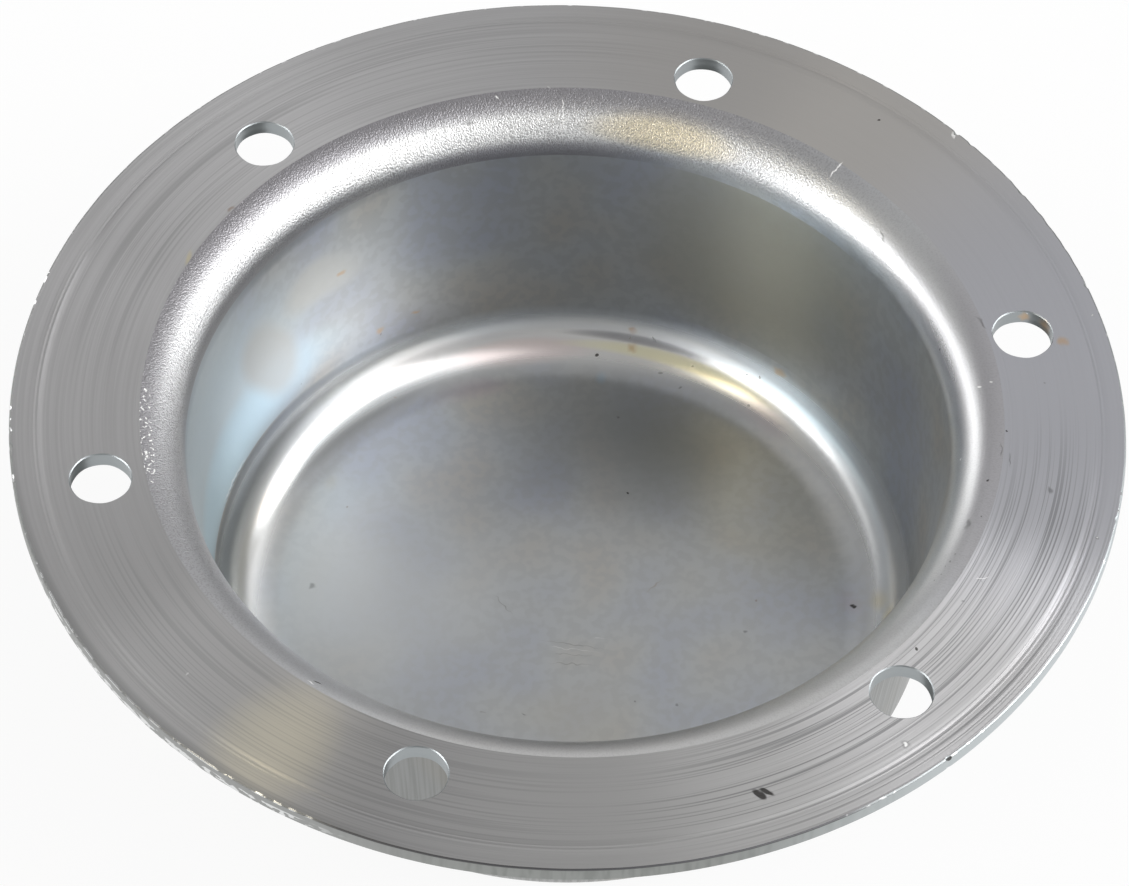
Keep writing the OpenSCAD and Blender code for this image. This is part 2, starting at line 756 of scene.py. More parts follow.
def sharpen(data: bpy.types.Mesh, finishes: np.ndarray, crease: float = radians(22.0)) -> None:
    """Marks the edges round the turned and the cut faces, and those that turn by a crease, as sharp.

    Args:
        data: The mesh.
        finishes: Finish of each polygon.
        crease: Angle between two faces from which their edge is sharp.
    """
    edge = np.empty(len(data.loops), np.int32)
    data.loops.foreach_get("edge_index", edge)
    sides = np.empty(len(data.polygons), np.int32)
    data.polygons.foreach_get("loop_total", sides)
    normals = np.empty(len(data.polygons) * 3, np.float32)
    data.polygons.foreach_get("normal", normals)
    normals = normals.reshape(-1, 3)
    face = np.repeat(np.arange(len(sides)), sides)
    order = np.argsort(edge, kind="stable")
    first, second = face[order[0::2]], face[order[1::2]]
    bend = np.einsum("ij,ij->i", normals[first], normals[second])
    machined = np.isin(finishes, [Finish.TURNED.value, Finish.CUT.value])
    sharp = (machined[first] != machined[second]) | (bend < cos(crease))
    mark = data.attributes.new("sharp_edge", "BOOLEAN", "EDGE")
    mark.data.foreach_set("value", sharp[np.argsort(edge[order[0::2]], kind="stable")])


class Graph:
    """A material's node tree, with short calls for the nodes that the finishes use."""

    def __init__(self, name: str) -> None:
        """Makes a new material whose tree holds only its output.

        Args:
            name: Name of the material.
        """
        self.material = bpy.data.materials.new(name)
        self.material.use_nodes = True
        self.tree = self.material.node_tree
        self.tree.nodes.clear()
        self.output = self.tree.nodes.new("ShaderNodeOutputMaterial")
        self.coords = self.tree.nodes.new("ShaderNodeTexCoord").outputs["Object"]

    def put(self, socket: Socket, value: object) -> None:
        """Sets a socket to a value, or links another node's output to it.

        Args:
            socket: The input to set; a colour takes three numbers, and its fourth is 1.
            value: A number, a row of numbers or a node's output.
        """
        if isinstance(value, Socket):
            self.tree.links.new(value, socket)
        elif np.ndim(value):
            size = len(socket.default_value)
            socket.default_value = (list(value) + [1.0])[:size]
        else:
            socket.default_value = value

    def node(self, kind: str, inputs: dict, **settings: object) -> bpy.types.Node:
        """Adds a node.

        Args:
            kind: Blender's name of the node's class, without its prefix.
            inputs: Values or outputs for its sockets, by name or number.
            **settings: Properties of the node.

        Returns:
            The node.
        """
        made = self.tree.nodes.new("ShaderNode" + kind)
        for key, value in settings.items():
            setattr(made, key, value)
        for key, value in inputs.items():
            self.put(made.inputs[key], value)
        return made

    def maths(self, operation: str, *values: object) -> Socket:
        """Adds a Math node and returns its output."""
        return self.node("Math", dict(enumerate(values)), operation=operation).outputs[0]

    def vector(self, operation: str, *values: object) -> Socket:
        """Adds a Vector Math node and returns its vector."""
        return self.node("VectorMath", dict(enumerate(values)), operation=operation).outputs[0]

    def length(self, vector: Socket) -> Socket:
        """Length of a vector."""
        return self.node("VectorMath", {0: vector}, operation="LENGTH").outputs["Value"]

    def scaled(self, vector: Socket, scale: object) -> Socket:
        """A vector times a number."""
        return self.node("VectorMath", {0: vector, "Scale": scale}, operation="SCALE").outputs[0]

    def ramp(self, value: object, low: float, high: float, to_low: float = 0.0,
             to_high: float = 1.0) -> Socket:
        """Maps a value smoothly from one range to another, clamped, and returns the output."""
        inputs = {"Value": value, "From Min": low, "From Max": high, "To Min": to_low, "To Max": to_high}
        return self.node("MapRange", inputs, interpolation_type="SMOOTHSTEP").outputs["Result"]

    def mix(self, share: object, first: object, second: object) -> Socket:
        """Mixes two colours by a share.

        Args:
            share: Nil for the first colour and 1 for the second.
            first: First colour.
            second: Second colour.

        Returns:
            The mixed colour.
        """
        made = self.node("Mix", {}, data_type="RGBA", blend_type="MIX")
        self.put(made.inputs["Factor"], share)
        self.put(made.inputs[6], first)
        self.put(made.inputs[7], second)
        return made.outputs[2]

    def noise(self, vector: object, scale: float, detail: float = 2.0) -> Socket:
        """Adds a noise texture and returns its value, which lies about one half."""
        inputs = {"Vector": vector, "Scale": scale, "Detail": detail, "Roughness": 0.5}
        return self.node("TexNoise", inputs).outputs["Fac"]

    def wobble(self, scale: float, amount: float) -> Socket:
        """Object coordinates shifted by a noise, which makes the borders of marks uneven.

        Args:
            scale: Scale of the noise.
            amount: Span of the shift along each axis.

        Returns:
            The shifted coordinates.
        """
        stir = self.node("TexNoise", {"Vector": self.coords, "Scale": scale, "Detail": 0.0})
        shift = self.vector("SUBTRACT", stir.outputs["Color"], (NOISE_MIDDLE,) * 3)
        return self.vector("ADD", self.coords, self.scaled(shift, amount))

    def bump(self, height: Socket, distance: float, more: dict) -> Socket:
        """Adds a Bump node for a height times a distance, and returns its normal."""
        inputs = {"Strength": 1.0, "Distance": distance, "Height": height, **more}
        return self.node("Bump", inputs).outputs[0]

    def finish(self, shader: bpy.types.Node) -> bpy.types.Material:
        """Links a shader to the output and returns the material."""
        self.tree.links.new(shader.outputs[0], self.output.inputs["Surface"])
        return self.material

    def metal(self, colour: object, roughness: object, inputs: dict) -> bpy.types.Material:
        """Links a metal shader to the output.

        Args:
            colour: Colour of the metal.
            roughness: Roughness of the metal.
            inputs: Further values or outputs for the shader's sockets, by name.

        Returns:
            The material.
        """
        inputs = {"Base Color": colour, "Metallic": 1.0, "Roughness": roughness, **inputs}
        return self.finish(self.node("BsdfPrincipled", inputs))


@dataclass(frozen=True)
class Rings:
    """Noise in lines that run round the axis.

    The spacing is the rough distance between two lines, the drift says how often a line changes
    on its way round, and the detail counts the noise's finer layers.
    """

    spacing: float
    drift: float
    detail: float


@dataclass
class RoundCoords:
    """A surface point's place about the axis: direction, radius, height and angle of turn."""

    graph: Graph
    outward: Socket = field(init=False)
    radius: Socket = field(init=False)
    height: Socket = field(init=False)
    turn: Socket = field(init=False)

    def __post_init__(self) -> None:
        """Works the sockets out from the object's own coordinates."""
        g = self.graph
        flat = g.vector("MULTIPLY", g.coords, (1.0, 1.0, 0.0))
        self.outward = g.vector("NORMALIZE", flat)
        self.radius = g.length(flat)
        parts = g.node("SeparateXYZ", {0: g.coords})
        self.height = parts.outputs[2]
        self.turn = g.maths("ARCTAN2", parts.outputs[1], parts.outputs[0])

    def stretched(self, spread: float, along: Socket, length: float, detail: float) -> Socket:
        """Noise with one measure round the axis and another along the surface.

        Args:
            spread: How many times the noise changes within a radian of turn.
            along: Distance along the surface.
            length: Distance within which the noise changes once.
            detail: Finer layers of the noise.

        Returns:
            The noise's value.
        """
        g = self.graph
        turn = g.node("SeparateXYZ", {0: g.scaled(self.outward, spread)})
        place = g.node("CombineXYZ", {
            0: turn.outputs[0], 1: turn.outputs[1], 2: g.maths("DIVIDE", along, length),
        })
        return g.noise(place.outputs[0], 1.0, detail)

    def lines(self, across: Socket, rings: Rings) -> Socket:
        """Noise in lines that run round the axis, counted along a distance."""
        return self.stretched(rings.drift, across, rings.spacing, rings.detail)

    def streaks(self, along: Socket, width: float, length: float, reach: float = 60.0 * MM) -> Socket:
        """Noise in streaks that run along the section, as wide as said at the reach from the axis."""
        return self.stretched(reach / width, along, length, 2.0)


@dataclass(frozen=True)
class Look:
    """How a kind of mark looks, wear and soiling as well as painted shade, light and glints: its colour,
    how strongly it covers and how softly it ends.
    """

    colour: Colour
    strength: float
    soft: float
    broad: bool = False
    roughen: float = 0.0


class WearAndPaintedLight(Enum):
    """Kinds of wear and soiling that the cap shows, and the painted shade (SHADE), painted light (PALER)
    and painted glints (GLINT) that are laid the same way.
    """

    BEIGE = Look((0.59, 0.59, 0.57), 0.80, 0.45, broad=True)
    HAZE = Look((0.51, 0.56, 0.61), 0.50, 0.95, broad=True)
    WARM = Look((0.55, 0.53, 0.47), 0.45, 0.90, broad=True)
    # SHADE is painted shade, and PALER on the next line is painted light.
    SHADE = Look((0.36, 0.37, 0.37), 0.80, 0.98, broad=True)
    PALER = Look((0.71, 0.73, 0.74), 0.85, 0.98, broad=True)
    BLUE = Look((0.46, 0.58, 0.68), 0.60, 0.90, broad=True)
    MAUVE = Look((0.50, 0.42, 0.46), 0.45, 0.90, broad=True)
    YELLOW = Look((0.70, 0.60, 0.33), 0.50, 0.85, broad=True)
    ORANGE = Look((0.62, 0.38, 0.16), 0.50, 0.80)
    BROWN = Look((0.25, 0.17, 0.12), 0.60, 0.80, roughen=0.15)
    PIT = Look((0.035, 0.032, 0.03), 0.88, 0.45, roughen=0.25)
    SMEAR = Look((0.16, 0.16, 0.16), 0.55, 0.75, roughen=0.10)
    FAINT = Look((0.30, 0.295, 0.29), 0.65, 0.90)
    RUDDY = Look((0.40, 0.34, 0.30), 0.55, 0.90)
    # GLINT paints glints: highlights of scratches and specks laid into the colour.
    GLINT = Look((0.80, 0.80, 0.80), 0.60, 0.70, roughen=0.10)
    # PALE is the white of chips, specks and scratches, and also serves as painted glints and highlights.
    PALE = Look((0.97, 0.97, 0.96), 0.90, 0.50, roughen=0.30)


@dataclass(frozen=True)
class Mark:
    """One mark: where it lies, its half length and half width, and how it leans.

    Places and sizes are in millimetres and degrees.  The length runs round the axis when the
    lean is nil, and up or out along the section when the lean is a right angle.  A mark that is
    shorter than ROUND_UNDER times its width is laid as a round one.
    """

    ROUND_UNDER: ClassVar[float] = 1.4

    name: str
    wear: WearAndPaintedLight
    radius: float
    turn: float
    height: float
    length: float
    width: float
    lean: float = 0.0

    def touches(self, low: float, high: float) -> bool:
        """Whether the mark reaches between two heights, in millimetres."""
        return low - self.length < self.height < high + self.length

    def axes(self, sizes: CapSizes) -> Matrix:
        """Works out the directions of the mark's length, its width and the surface's normal.

        Args:
            sizes: Sizes of the section, which give the slope at the mark.

        Returns:
            Matrix with the three directions as its columns.
        """
        turn, lean = radians(self.turn), radians(self.lean)
        slope = sizes.slope_at(self.radius * MM, self.height * MM)
        outward = Vector((cos(turn), sin(turn), 0.0))
        along = Vector((-sin(turn), cos(turn), 0.0))
        up = outward * cos(slope) + Vector((0.0, 0.0, sin(slope)))
        length = along * cos(lean) + up * sin(lean)
        width = up * cos(lean) - along * sin(lean)
        return Matrix((length, width, length.cross(width))).transposed()

    def reach(self, g: Graph, coords: Socket, sizes: CapSizes, deep: float = 4.0) -> Socket:
        """Distance from the mark's middle, counted as 1 at its edge.

        Args:
            g: The material's graph.
            coords: Coordinates to measure in.
            sizes: Sizes of the section.
            deep: Half thickness of the mark's body, in millimetres.

        Returns:
            The distance.
        """
        turn = radians(self.turn)
        middle = (self.radius * MM * cos(turn), self.radius * MM * sin(turn), self.height * MM)
        if self.length < self.ROUND_UNDER * self.width:
            span = (self.length + self.width) / 2 * MM
            away = g.node("VectorMath", {0: coords, 1: middle}, operation="DISTANCE").outputs["Value"]
            return g.maths("DIVIDE", away, span)
        made = g.node("Mapping", {
            "Vector": coords,
            "Location": middle,
            "Rotation": tuple(self.axes(sizes).to_euler()),
            "Scale": (self.length * MM, self.width * MM, deep * MM),
        }, vector_type="TEXTURE")
        return g.length(made.outputs[0])


@dataclass(frozen=True)
class Band:
    """A broad band of tint, painted light or painted shade that follows the section round a part of the
    turn.

    Its middle and half width count along the height, or along the radius when flat is set.
    """

    name: str
    colour: Colour
    strength: float
    turn: float
    half_turn: float
    middle: float
    half_width: float
    flat: bool = False
    roughen: float = 0.0

    def mask(self, place: RoundCoords) -> Socket:
        """Share of the band: full in the middle and fading to nil at the edge of an oval.

        Args:
            place: The surface point's place about the axis.

        Returns:
            The share times the band's strength.
        """
        g = place.graph
        off = g.maths("WRAP", g.maths("SUBTRACT", place.turn, radians(self.turn)), pi, -pi)
        round_share = g.maths("DIVIDE", off, radians(self.half_turn))
        across = place.radius if self.flat else place.height
        up_share = g.maths("DIVIDE", g.maths("SUBTRACT", across, self.middle * MM), self.half_width * MM)
        round_square = g.maths("MULTIPLY", round_share, round_share)
        squares = g.maths("MULTIPLY_ADD", up_share, up_share, round_square)
        return g.ramp(squares, 1.0, 0.0, 0.0, self.strength)


@dataclass
class SoilingAndPaintedLight:
    """Lays marks and bands over a clean finish, and keeps the colour and the roughness as they grow;
    besides wear and soiling, many of them are painted highlights, glints and shade.

    A wobble is the scale and the span of the noise that makes the marks' borders uneven.
    """

    graph: Graph
    sizes: CapSizes
    colour: object
    roughness: object
    small_wobble: Pair = (900.0, 0.9 * MM)
    broad_wobble: Pair = (60.0, 9.0 * MM)

    def lay(self, marks: tuple[Mark, ...]) -> None:
        """Covers the finish with marks, one kind after another: wear and soiling, and painted shade,
        light and glints.

        Args:
            marks: The marks on this finish.
        """
        g = self.graph
        small, broad = g.wobble(*self.small_wobble), g.wobble(*self.broad_wobble)
        for wear in WearAndPaintedLight:
            look = wear.value
            reach = None
            for mark in (m for m in marks if m.wear is wear):
                one = mark.reach(g, broad if look.broad else small, self.sizes)
                reach = one if reach is None else g.maths("MINIMUM", reach, one)
            if reach is None:
                continue
            share = g.ramp(reach, 1.0, 1.0 - look.soft, 0.0, look.strength)
            self.colour = g.mix(share, self.colour, look.colour)
            self.roughness = g.maths("MULTIPLY_ADD", share, look.roughen, self.roughness)

    def tint_and_paint_light(self, place: RoundCoords, bands: tuple[Band, ...]) -> None:
        """Tints the finish with broad bands, most of which paint highlights and shade into the colour.

        Args:
            place: The surface point's place about the axis.
            bands: The bands on this finish.
        """
        for band in bands:
            share = band.mask(place)
            self.colour = self.graph.mix(share, self.colour, band.colour)
            if band.roughen:
                self.roughness = self.graph.maths("MULTIPLY_ADD", share, band.roughen, self.roughness)


LIP_MARKS = (
    Mark("first chip at the far border", WearAndPaintedLight.PALE, 63.3, 87.8, -0.2, 0.7, 0.22, 60.0),
    Mark("second chip at the far border", WearAndPaintedLight.PALE, 64.4, 80.5, 0.0, 0.5, 0.2, 40.0),
    Mark("long dash at the border", WearAndPaintedLight.SMEAR, 64.1, -19.0, -0.05, 1.7, 0.14),
    Mark("second dash at the border", WearAndPaintedLight.SMEAR, 65.6, -20.6, 0.0, 1.5, 0.22),
    Mark("light scratch over the lip", WearAndPaintedLight.PALE, 63.4, 36.9, -0.3, 2.1, 0.13, 86.0),
    Mark("dark scratch by the first hole", WearAndPaintedLight.SMEAR, 64.5, 2.9, 0.0, 1.9, 0.32, -10.0),
)

PRESSED_MARKS = LIP_MARKS + (
    Mark("speck high on the wall", WearAndPaintedLight.BROWN, 55.05, 140.5, -26.8, 0.35, 0.28),
    Mark("speck low on the wall", WearAndPaintedLight.SMEAR, 54.0, 127.9, -37.5, 0.26, 0.26),
    Mark("rust bloom on the wall", WearAndPaintedLight.ORANGE, 54.0, 110.7, -37.0, 1.2, 0.9),
    Mark("rust core", WearAndPaintedLight.BROWN, 54.0, 110.5, -38.0, 0.5, 0.4),
    Mark("second rust bloom", WearAndPaintedLight.ORANGE, 54.1, 103.8, -36.0, 1.2, 0.5),
    Mark("high rust bloom", WearAndPaintedLight.ORANGE, 55.6, 117.0, -20.5, 1.1, 0.6),
    Mark("beige patch on the wall", WearAndPaintedLight.BEIGE, 55.0, 134.5, -26.0, 13.5, 8.0, 60.0),
    Mark("upper beige patch", WearAndPaintedLight.BEIGE, 55.6, 120.5, -19.5, 10.5, 6.0, 10.0),
    # The draw line's ridge is not modelled: it is a pale painted highlight with a painted shadow just
    # below it.
    Mark("draw line on the left wall", WearAndPaintedLight.PALE, 53.85, 150.7, -38.4, 6.4, 0.16, 2.0),
    Mark("shadow of the draw line", WearAndPaintedLight.SMEAR, 53.85, 150.7, -39.0, 6.4, 0.22, 2.0),
    Mark("spot on the left of the floor", WearAndPaintedLight.SMEAR, 39.1, 164.2, -48.2, 0.95, 0.75),
    Mark("faint speck on the floor", WearAndPaintedLight.BROWN, 38.7, 139.3, -48.2, 0.3, 0.3),
    Mark("red speck on the fillet", WearAndPaintedLight.BROWN, 48.2, 111.5, -47.2, 0.32, 0.25),
    Mark("brown bloom on the floor", WearAndPaintedLight.WARM, 42.4, 135.1, -48.2, 3.2, 1.8),
    Mark("dark spot on the far fillet", WearAndPaintedLight.PIT, 49.1, 71.15, -46.7, 0.45, 0.40),
    Mark("bluish drip below the spot", WearAndPaintedLight.BLUE, 47.9, 70.6, -47.4, 1.3, 1.9),
    Mark("orange bloom on the far fillet", WearAndPaintedLight.ORANGE, 52.6, 65.4, -43.1, 0.9, 0.8),
    Mark("dark point in the bloom", WearAndPaintedLight.BROWN, 51.7, 65.9, -44.4, 0.4, 0.3),
    Mark("orange bloom lower down", WearAndPaintedLight.ORANGE, 50.8, 64.9, -45.4, 1.2, 0.9),
    Mark("crooked mark on the fillet", WearAndPaintedLight.SMEAR, 52.2, 61.4, -43.8, 0.8, 0.28, 40.0),
    Mark("red speck, right of the fillet", WearAndPaintedLight.BROWN, 52.1, 43.0, -43.9, 0.28, 0.25),
    Mark("second red speck", WearAndPaintedLight.BROWN, 52.5, 40.5, -43.2, 0.34, 0.3),
    Mark("third red speck", WearAndPaintedLight.BROWN, 50.6, 46.7, -45.6, 0.26, 0.24),
    Mark("fourth red speck", WearAndPaintedLight.BROWN, 50.5, 53.0, -45.7, 0.26, 0.24),
    Mark("brown bloom at the wall's foot", WearAndPaintedLight.ORANGE, 53.6, 37.4, -40.7, 1.7, 1.0),
    Mark("dark speck on the floor", WearAndPaintedLight.SMEAR, 38.3, 64.4, -48.2, 0.38, 0.34),
    Mark("specks under the fillet", WearAndPaintedLight.SMEAR, 48.3, 58.7, -47.1, 0.45, 0.30),
    Mark("more specks", WearAndPaintedLight.SMEAR, 47.2, 54.0, -47.6, 0.36, 0.30),
    Mark("speck at the right", WearAndPaintedLight.SMEAR, 49.0, 39.9, -46.8, 0.36, 0.30),
    Mark("mauve cloud by the fillet", WearAndPaintedLight.MAUVE, 46.7, 37.0, -47.8, 6.0, 3.0),
    Mark("mauve cloud on the floor", WearAndPaintedLight.MAUVE, 44.0, 98.0, -48.2, 9.0, 3.0),
    # Painted shade on the far right of the floor and painted light on its left.
    Mark("darker far right of the floor", WearAndPaintedLight.SHADE, 35.0, 55.0, -48.2, 24.0, 20.0),
    Mark("pale left of the floor", WearAndPaintedLight.PALER, 31.0, 168.0, -48.2, 30.0, 27.0),
    Mark("blue cloud on the floor", WearAndPaintedLight.HAZE, 38.0, 137.0, -48.2, 12.0, 6.0, 20.0),
    Mark("beige cloud on the left floor", WearAndPaintedLight.WARM, 40.0, 162.0, -48.2, 9.0, 6.0),
    Mark("beige cloud on the near floor", WearAndPaintedLight.WARM, 22.0, -95.0, -48.2, 14.0, 10.0),
    Mark("spot on the lip", WearAndPaintedLight.PIT, 62.95, -24.3, -0.3, 0.34, 0.28),
    Mark("second spot on the lip", WearAndPaintedLight.PIT, 63.2, -30.5, -0.2, 0.26, 0.22),
    Mark("rubbed oval on the lip", WearAndPaintedLight.SMEAR, 61.7, -32.1, -0.7, 1.5, 0.6, 8.0),
    Mark("white speck at the wall's top", WearAndPaintedLight.PALE, 58.45, -18.5, -3.5, 0.28, 0.2),
    Mark("spot on the right of the floor", WearAndPaintedLight.PIT, 45.35, -12.7, -48.1, 0.5, 0.45),
    Mark("purple stain round the spot", WearAndPaintedLight.MAUVE, 45.7, -10.5, -48.0, 3.4, 2.6),
    Mark("orange stain behind it", WearAndPaintedLight.YELLOW, 49.3, -10.0, -46.6, 3.6, 2.2),
    Mark("yellow stain in front", WearAndPaintedLight.YELLOW, 50.3, -16.0, -45.8, 4.5, 1.6),
    Mark("first dot of a row", WearAndPaintedLight.SMEAR, 61.3, -42.9, -0.9, 0.24, 0.20),
    Mark("second dot of a row", WearAndPaintedLight.SMEAR, 61.5, -41.6, -0.9, 0.30, 0.16),
    Mark("third dot of a row", WearAndPaintedLight.SMEAR, 61.5, -40.2, -0.8, 0.22, 0.18),
    Mark("fourth dot of a row", WearAndPaintedLight.SMEAR, 61.7, -38.9, -0.8, 0.30, 0.18),
    Mark("last dot of a row", WearAndPaintedLight.SMEAR, 61.8, -37.6, -0.7, 0.24, 0.16),
    Mark("dark nick in the far highlight", WearAndPaintedLight.SMEAR, 60.0, 24.4, -1.9, 1.5, 0.28, 30.0),
    Mark("speck at the right lip", WearAndPaintedLight.PIT, 58.2, 4.2, -3.8, 0.26, 0.2),
    Mark("speck above it", WearAndPaintedLight.PIT, 58.5, 5.6, -3.6, 0.22, 0.2),
    Mark("speck below it", WearAndPaintedLight.PIT, 58.1, 2.7, -3.9, 0.30, 0.2, 60.0),
    Mark("long chip on the right lip", WearAndPaintedLight.PALE, 61.6, -7.4, -0.8, 0.5, 0.22, -60.0),
    Mark("short chip on the right lip", WearAndPaintedLight.PALE, 63.2, -7.1, -0.2, 0.3, 0.16, -60.0),
    Mark("spot on the far lip", WearAndPaintedLight.SMEAR, 60.0, 92.3, -1.8, 0.75, 0.45),
    Mark("reddish speck on the floor", WearAndPaintedLight.BROWN, 30.4, -11.0, -48.2, 0.4, 0.34),
    Mark("speck at the middle of the floor", WearAndPaintedLight.PIT, 24.1, 52.0, -48.2, 0.34, 0.3),
    Mark("upright scratch on the far lip", WearAndPaintedLight.PALE, 60.3, 78.4, -1.7, 3.2, 0.16, 90.0),
    Mark("first floor scratch", WearAndPaintedLight.FAINT, 8.5, -91.7, -48.2, 6.2, 0.13, 19.7),
    Mark("second floor scratch", WearAndPaintedLight.FAINT, 10.4, -93.3, -48.2, 4.4, 0.09, 12.7),
    Mark("third floor scratch", WearAndPaintedLight.FAINT, 12.2, -95.7, -48.2, 4.4, 0.13, 8.3),
    # Painted glints of the floor's scratches.
    Mark("glint of a scratch", WearAndPaintedLight.GLINT, 9.2, -61.8, -48.2, 1.3, 0.07, 39.8),
    Mark("pale line between the scratches", WearAndPaintedLight.GLINT, 9.4, -92.3, -48.2, 5.0, 0.09, 17.0),
    Mark("slanting scratch", WearAndPaintedLight.FAINT, 9.2, 172.3, -48.2, 2.9, 0.14, -34.5),
    Mark("curved scratch on the floor", WearAndPaintedLight.RUDDY, 14.7, 0.4, -48.2, 2.6, 0.17, 56.8),
    Mark("smudge on the right floor", WearAndPaintedLight.SMEAR, 28.9, -23.4, -48.2, 0.55, 0.30),
    Mark("first near dot", WearAndPaintedLight.SMEAR, 18.9, -75.9, -48.2, 0.22, 0.20),
    Mark("second near dot", WearAndPaintedLight.SMEAR, 22.2, -72.1, -48.2, 0.32, 0.30),
    Mark("third near dot", WearAndPaintedLight.SMEAR, 26.4, -60.5, -48.2, 0.28, 0.26),
    Mark("near dash", WearAndPaintedLight.SMEAR, 22.4, -117.1, -48.2, 0.42, 0.2),
    Mark("second near dash", WearAndPaintedLight.FAINT, 24.6, -131.9, -48.2, 0.45, 0.25),
    Mark("chip on the near lip", WearAndPaintedLight.PIT, 62.1, -137.2, -0.5, 0.9, 0.13),
    # Painted highlight on the lit side of the chip.
    Mark("bright side of the chip", WearAndPaintedLight.PALE, 62.6, -138.0, -0.2, 0.8, 0.12),
)

TURNED_MARKS = LIP_MARKS + (
    Mark("spot at the right border", WearAndPaintedLight.PIT, 64.85, -15.6, 0.0, 0.28, 0.25),
    Mark("spot by the wedge", WearAndPaintedLight.PIT, 66.2, -53.9, 0.0, 0.40, 0.34),
    Mark("arrow-shaped dent", WearAndPaintedLight.SMEAR, 66.8, -44.5, 0.0, 0.5, 0.25, 30.0),
    Mark("smudge on the right flange", WearAndPaintedLight.SMEAR, 71.9, -24.2, 0.0, 0.9, 0.4, -30.0),
    # The dent is not modelled: its dark ring is painted shade and its bright middle a painted highlight.
    Mark("dent near the rim", WearAndPaintedLight.SMEAR, 80.2, -29.5, 0.0, 0.55, 0.5),
    Mark("bright middle of the dent", WearAndPaintedLight.PALE, 80.2, -29.4, 0.0, 0.22, 0.2),
    Mark("fine cross scratch", WearAndPaintedLight.PALE, 67.3, -40.1, 0.0, 1.3, 0.07, 55.0),
    Mark("fine cross scratch back", WearAndPaintedLight.SMEAR, 67.3, -40.5, 0.0, 1.3, 0.08, -50.0),
    Mark("square print", WearAndPaintedLight.SMEAR, 76.9, -64.5, 0.0, 0.9, 0.7),
    Mark("middle of the print", WearAndPaintedLight.PALE, 76.9, -64.5, 0.0, 0.4, 0.3),
    Mark("spot on the far flange", WearAndPaintedLight.PIT, 75.8, 38.0, 0.0, 0.38, 0.32),
    Mark("white chip at the rim", WearAndPaintedLight.PALE, 81.5, 30.5, 0.0, 0.85, 0.32, 25.0),
    Mark("rust beside the first hole", WearAndPaintedLight.ORANGE, 75.4, -1.9, 0.0, 1.2, 1.2),
    Mark("speck on the right", WearAndPaintedLight.SMEAR, 71.3, -7.8, 0.0, 0.34, 0.3),
    Mark("white speck near the rim", WearAndPaintedLight.PALE, 81.2, 1.1, 0.0, 0.26, 0.2),
    Mark("brown mark at the border", WearAndPaintedLight.BROWN, 64.1, 131.3, 0.0, 1.1, 0.4, 8.0),
    Mark("yellow line", WearAndPaintedLight.YELLOW, 65.6, 140.7, 0.0, 2.2, 0.5),
    Mark("blot, first stroke", WearAndPaintedLight.PIT, 74.3, -81.5, 0.0, 1.5, 0.55, 65.0),
    Mark("blot, second stroke", WearAndPaintedLight.PIT, 74.3, -80.7, 0.0, 1.6, 0.62, 46.0),
    # Painted glint on the flange.
    Mark("light speck on the left", WearAndPaintedLight.GLINT, 73.6, -149.4, 0.0, 0.5, 0.2, 70.0),
)

CUT_MARKS = (
    Mark("rust in the first hole", WearAndPaintedLight.ORANGE, 73.8, 1.5, -1.2, 1.6, 1.6),
    Mark("rust on its left", WearAndPaintedLight.ORANGE, 71.5, 3.2, -1.2, 1.4, 1.2),
    Mark("glint in the first hole", WearAndPaintedLight.PALE, 72.0, 3.1, -0.4, 0.25, 0.25),
    Mark("nick on the near rim", WearAndPaintedLight.PIT, 82.3, -62.2, -0.2, 0.6, 0.3),
)

